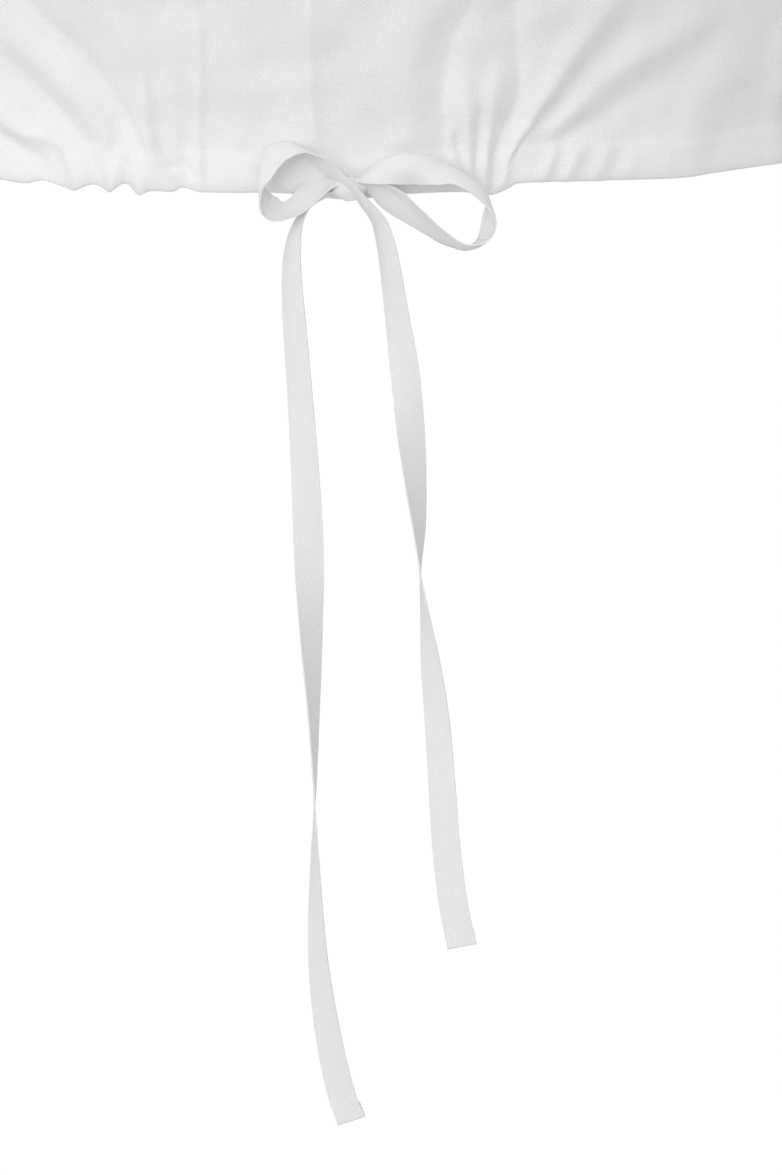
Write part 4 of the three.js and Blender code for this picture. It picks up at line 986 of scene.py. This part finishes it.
# %% Sizes of the sleeves
CUFF_CENTRE, CUFF_RADIUS, CUFF_HEIGHT, CUFF_THICK = np.array([240.0, -5.0, -232.0]), 47.0, 16.0, 2.3
INSIDE_CUFF = 0.75  # the sleeve's end lies this far inside the cuff's face
ARM_LEAN = np.radians(27)
ARM_AXIS = np.array([np.sin(ARM_LEAN), 0, -np.cos(ARM_LEAN)])
ARM_OUTWARD = np.array([np.cos(ARM_LEAN), 0, np.sin(ARM_LEAN)])
FORWARD = np.array([0, -1.0, 0])
SLEEVE_COLUMNS = 216
TURN = np.arange(SLEEVE_COLUMNS) / SLEEVE_COLUMNS * 2 * np.pi
print("the cuff is", round(2 * np.pi * CUFF_RADIUS), "mm round")


# %% The plain form of a sleeve
SLEEVE_HANDLES = {"armhole": (16, 62), "cuff": (20, 58)}  # length under the arm, and at the head


def armhole_ring():
    """The armhole's edge from the shoulder down the front and up the back, in evenly spaced points."""
    z = np.linspace(-22, UNDERARM_Z, 200)
    edges = [form_point(side, np.ones(200), z) for side in (FRONT, BACK)]
    line = np.vstack([edges[0], edges[1][::-1][1:]])
    line[[0, -1], 1] = 0
    along = length_along(line)
    at = np.linspace(0, along[-1], SLEEVE_COLUMNS + 1)[:-1]
    return np.stack([np.interp(at, along, line[:, k]) for k in range(3)], axis=1)


def sleeve_form(v):
    """Cubic curves from the armhole's points to the cuff's, for shares v. Their handles reach furthest at the
    head of the sleeve, where cos turn is 1, and least under the arm."""
    start = armhole_ring()
    head = ((1 + np.cos(TURN)) / 2)[:, None]
    radial = (start - start.mean(axis=0)) * [0, 1, 1]
    leaving = unit(unit(radial) * 0.6 + [0.8, 0, 0])
    around = ARM_OUTWARD * np.cos(TURN)[:, None] + FORWARD * np.sin(TURN)[:, None]
    end = CUFF_CENTRE + around * (CUFF_RADIUS - INSIDE_CUFF)
    arriving = unit(around * 0.85 - ARM_AXIS * 0.53)
    first = start + leaving * mix(*SLEEVE_HANDLES["armhole"], head)
    second = end + arriving * mix(*SLEEVE_HANDLES["cuff"], head)
    v = v[:, None, None]
    return (1 - v) ** 3 * start + 3 * v * (1 - v) ** 2 * first + 3 * v * v * (1 - v) * second + v**3 * end


shoulder_to_cuff = length_along(sleeve_form(np.linspace(0, 1, 40)))[-1, 0]
print("the longest line down a sleeve is", round(float(shoulder_to_cuff)), "mm")


# %% [markdown]
# Gathers are closest at the two seams and run out into the puff between them. Large and small ones lie over
# each other. At the armhole there are none under the arm, where a sleeve is set in flat.

# %% Gathers of a sleeve
HEAD_GATHERS, CUFF_GATHERS = (2.5, 15), (2.3, 13)  # height, and how many go round
HEAD_PLEATS, CUFF_PLEATS = (0.9, 38), (0.8, 34)


def ripple(gathers, turn, shift=0.0):
    """height · cos (count·turn + shift)"""
    height, count = gathers
    return height * np.cos(count * turn + shift)


def sleeve_gathers(v, phase):
    """Cosine waves round the sleeve that die away from the head and from the cuff. Their spacing and height
    are uneven, because a slow wave is added to the turn and multiplied in."""
    uneven = TURN + 0.11 * np.sin(3 * TURN + phase) + 0.05 * np.sin(7 * TURN - 2 * phase)
    over_shoulder = smooth(np.cos(TURN), -0.35, 0.25)
    v = v[:, None]
    sway = 0.10 * np.sin(2 * TURN + phase) * v
    at_head = over_shoulder * smooth(v, 0, 0.10) * (1 - smooth(v, 0.16, 0.62))
    at_foot = smooth(v, 0.42, 0.88) * (1 - smooth(v, 0.93, 1))
    fine = smooth(v, 0, 0.04) * (1 - smooth(v, 0.06, 0.22)) * over_shoulder
    fine_foot = smooth(v, 0.8, 0.95) * (1 - smooth(v, 0.97, 1))
    strong = 0.75 + 0.35 * np.sin(2 * uneven + 3 * phase)
    return (ripple(HEAD_GATHERS, uneven + sway, phase) * strong * at_head
            + ripple(HEAD_PLEATS, uneven) * fine
            + ripple(CUFF_GATHERS, uneven - sway, -phase) * strong * at_foot
            + ripple(CUFF_PLEATS, uneven, 1.0) * fine_foot)


print("highest gather:", round(float(sleeve_gathers(np.linspace(0, 1, 40), 0.6).max()), 1), "mm")

# %% [markdown]
# Both arms are made as left ones. The right sleeve and cuff are mirror images, with gathers of their own.

# %% Sleeves and cuffs
TUCKED_DOWN, TUCKED_IN = 1.4, 0.4  # how the sleeve's last row goes into the cuff


def arm_surface(name, points, uv, mirror, **grid):
    """A closed surface on the left arm, or its mirror image on the right one."""
    if mirror:
        points, uv = points[:, ::-1] * [-1, 1, 1], uv[:, ::-1]
    return surface(name, points, uv, round_columns=True, **grid)


def sleeve(side, phase, mirror):
    """Form + normal · (gathers + weak waves − seam), and a last row that is tucked into the cuff."""
    v = 1 - (1 - np.linspace(0, 1, 84)) ** 1.15
    form = sleeve_form(v)
    normal = unit(np.cross(round_loop(form, axis=1), np.gradient(form, axis=0)))
    normal[0] = unit(normal[0] * [0, 1, 1])
    waves = weak_waves(*np.moveaxis(form, -1, 0), seed=int(10 * phase)) * smooth(v, 0, 0.1)[:, None]
    dip = SEAM_DIP * bell(v * 90, SEAM_WIDTH)[:, None]  # a sleeve is about 90 mm long under the arm
    points = form + normal * (sleeve_gathers(v, phase) + waves - dip)[..., None]
    tucked = ARM_AXIS * TUCKED_DOWN
    points = np.concatenate([points, points[-1:] + tucked - normal[-1:] * TUCKED_IN])
    form = np.concatenate([form, form[-1:] + tucked])
    closed = np.concatenate([form, form[:, :1]], axis=1)
    u = length_along(closed, axis=1)
    uv = np.stack([u - u[:, -1:] / 2, length_along(closed)], axis=2) * MM
    piece = give_thickness(arm_surface(f"{side}_sleeve", points, uv, mirror), LINEN_THICKNESS)
    return finish_piece(piece, linen_cloth, f"sleeve_{side}")


def cuff(side, mirror):
    """The band of the sleeve: a flat tube round a circle of the arm."""
    turn = np.linspace(0, 2 * np.pi, 145)[:-1, None]
    around = ARM_OUTWARD * np.cos(turn) + FORWARD * np.sin(turn)
    rim = CUFF_CENTRE + around * (CUFF_RADIUS - PROUD)
    points = flat_tube(rim, ARM_AXIS, around, CUFF_HEIGHT, CUFF_THICK, 0)
    piece = arm_surface(f"{side}_cuff", points, tube_uv(points), mirror, round_rows=True)
    return finish_piece(piece, linen_cloth, f"cuff_{side}")


sleeves = {"left": sleeve("left", 0.6, mirror=False), "right": sleeve("right", 2.1, mirror=True)}
cuffs = {"left": cuff("left", mirror=False), "right": cuff("right", mirror=True)}

# %% [markdown]
# ## Sewing
# The hem is sewn by machine, 14 mm up, with a stitch every 2.6 mm. Each stitch is a short thread that
# sinks into the cloth at both ends.


# %% Stitches
STITCH_PITCH, SEAM_REACH, SUNK = 2.6, 162, 0.03


def stitches(name, places, ways, outwards, length=2.0, thick=0.26):
    """One small capsule for each stitch: rings of 6 points, whose radius is thick/2·(1 − t⁴) at the share t
    of half the length."""
    t = np.array([-1, -0.85, -0.4, 0.4, 0.85, 1.0])
    angle = np.linspace(0, 2 * np.pi, 7)[:-1, None, None, None]
    side = unit(np.cross(ways, outwards))
    ring = np.cos(angle) * side + np.sin(angle) * outwards
    radius = thick / 2 * np.maximum(1 - t**4, 0.05)
    points = places + t[:, None, None] * ways * length / 2 + ring * radius[:, None, None]
    points = points.transpose(2, 1, 0, 3)
    count, rings, sides = points.shape[:3]
    index = np.arange(points.size // 3).reshape(count, rings, sides)
    wrapped = np.concatenate([index, index[:, :, :1]], axis=2)
    near, far = wrapped[:, :-1], wrapped[:, 1:]
    quads = np.stack([near[..., :-1], near[..., 1:], far[..., 1:], far[..., :-1]], axis=-1)
    ends = [tuple(end) for pair in (index[:, 0, ::-1], index[:, -1]) for end in pair.tolist()]
    mesh = bpy.data.meshes.new(name)
    mesh.from_pydata((points.reshape(-1, 3) * MM).tolist(), [], quads.reshape(-1, 4).tolist() + ends)
    mesh.shade_smooth()
    return add_object(name, mesh)


def hem_stitches(name, side):
    """A row of stitches along the casing, from side seam to side seam."""
    x = np.arange(-SEAM_REACH, SEAM_REACH, STITCH_PITCH)
    s = np.arcsin(x / HALF_WIDTH[0]) / (np.pi / 2)
    z = HEM_Z + CASING + SEAM_ABOVE + 0 * s
    at = cloth_point(side, s, z)[0]
    way = unit(cloth_point(side, s + 0.003, z)[0] - cloth_point(side, s - 0.003, z)[0])
    up = cloth_point(side, s, z + 0.6)[0] - cloth_point(side, s, z - 0.6)[0]
    out = unit(np.cross(way, up)) * -side
    piece = stitches(name, at - out * SUNK, way, out)
    return finish_piece(piece, white_thread)


front_hem_stitches = hem_stitches("front_hem_stitches", FRONT)
back_hem_stitches = hem_stitches("back_hem_stitches", BACK)

# %% [markdown]
# The turned-up end of each tail is held by five stitches in a row across the tape.

# %% Stitches across the ends of the tape
END_ROW_REACH, END_ROW_ABOVE, END_STITCH = 3.6, 1.2, 1.3


def end_stitches(name, at, line, width, normal, section):
    """Five stitches in a row across a tail, where its turned-up end is sewn down."""
    row = np.searchsorted(at, at[-1] - END_HEM + END_ROW_ABOVE)
    across = unit(width[row])
    out = normal[row] * -np.sign(normal[row][1])
    aside = np.linspace(-END_ROW_REACH, END_ROW_REACH, 5)[:, None]
    places = line[row] + across * aside + out * TAPE_THICKNESS / 2
    piece = stitches(name, places, across + 0 * places, out + 0 * places, length=END_STITCH)
    return finish_piece(piece, white_thread)


for name, rows in tail_rows.items():
    sewn = end_stitches(f"{name}_stitches", *rows)

# %% [markdown]
# ## The area of each piece
# The cloth is gathered. The area of each piece's surface is printed, in square metres. Sleeves, cuffs and
# neck binding go all the way round, and the last two are folded, so that half their width shows.

# %% Sheets
def cloth_area(piece):
    """Square metres of the surface before it has thickness."""
    areas = np.empty(len(piece.data.polygons))
    piece.data.polygons.foreach_get("area", areas)
    return float(areas.sum())


for piece in (front_cloth, back_cloth, *sleeves.values(), *cuffs.values(), neck_band):
    print(piece.name, "area", round(cloth_area(piece), 4))

# %% [markdown]
# ## Floor and light
# A plain white floor lies far below, and the studio is a room of soft light with no single lamp. It is
# brightest in front, a little above and to the left, where the large lamps would stand, and dimmer
# behind. Light that comes from everywhere reaches into every fold and loop, so all shades stay soft.

# %% Floor and sky
LIGHT_EVEN, LIGHT_LAMP, LAMP_WIDTH = 0.71, 1.75, 5
LAMP_TOWARDS = unit(np.array([-0.47, -0.87, 0.14]))
FLOOR_LIGHT = 0.60
SEEN_WHITE = 1.02
FLOOR_HALF, FLOOR_Z = 30.0, -1.4


def seen_or_lit(tree, lit):
    """SEEN_WHITE where the camera looks straight at it, and lit where it lights other things."""
    path = tree.nodes.new("ShaderNodeLightPath")
    seen = path.outputs["Is Camera Ray"]
    dark = calculate(tree, "SUBTRACT", 1.0, seen)
    return calculate(tree, "MULTIPLY_ADD", dark, lit, calculate(tree, "MULTIPLY", seen, SEEN_WHITE))


def white_stage(holder, output, shader, lit):
    """Gives a world or a material one shader of white light with the strength that lit makes."""
    holder.use_nodes = True
    tree = holder.node_tree
    tree.nodes.clear()
    white = add_node(tree, shader, {"Color": linear("#FFFFFF"), "Strength": seen_or_lit(tree, lit(tree))})
    tree.links.new(white, tree.nodes.new(output).inputs["Surface"])


def sky_light(tree):
    """Brightness = even + lamp · c^width, where c is the cosine between the ray and the lamps' middle."""
    ray = add_node(tree, "ShaderNodeTexCoord")
    turned = add_node(tree, "ShaderNodeVectorMath", {0: ray, 1: LAMP_TOWARDS}, operation="DOT_PRODUCT")
    cosine = calculate(tree, "MAXIMUM", turned.node.outputs["Value"], 0.0)
    lobe = calculate(tree, "POWER", cosine, LAMP_WIDTH)
    return calculate(tree, "MULTIPLY_ADD", lobe, LIGHT_LAMP, LIGHT_EVEN)


floor_mesh = bpy.data.meshes.new("floor")
corners = [(x * FLOOR_HALF, y * FLOOR_HALF, FLOOR_Z) for x, y in ((-1, -1), (1, -1), (1, 1), (-1, 1))]
floor_mesh.from_pydata(corners, [], [(0, 1, 2, 3)])
floor_paper = bpy.data.materials.new("white paper floor")
white_stage(floor_paper, "ShaderNodeOutputMaterial", "ShaderNodeEmission", lambda tree: FLOOR_LIGHT)
floor_mesh.materials.append(floor_paper)
add_object("floor", floor_mesh)
world = bpy.data.worlds.new("white studio")
white_stage(world, "ShaderNodeOutputWorld", "ShaderNodeBackground", sky_light)
bpy.context.scene.world = world
bpy.context.scene.view_settings.view_transform = "Standard"
print("light: even", LIGHT_EVEN, "lamps", LIGHT_LAMP)
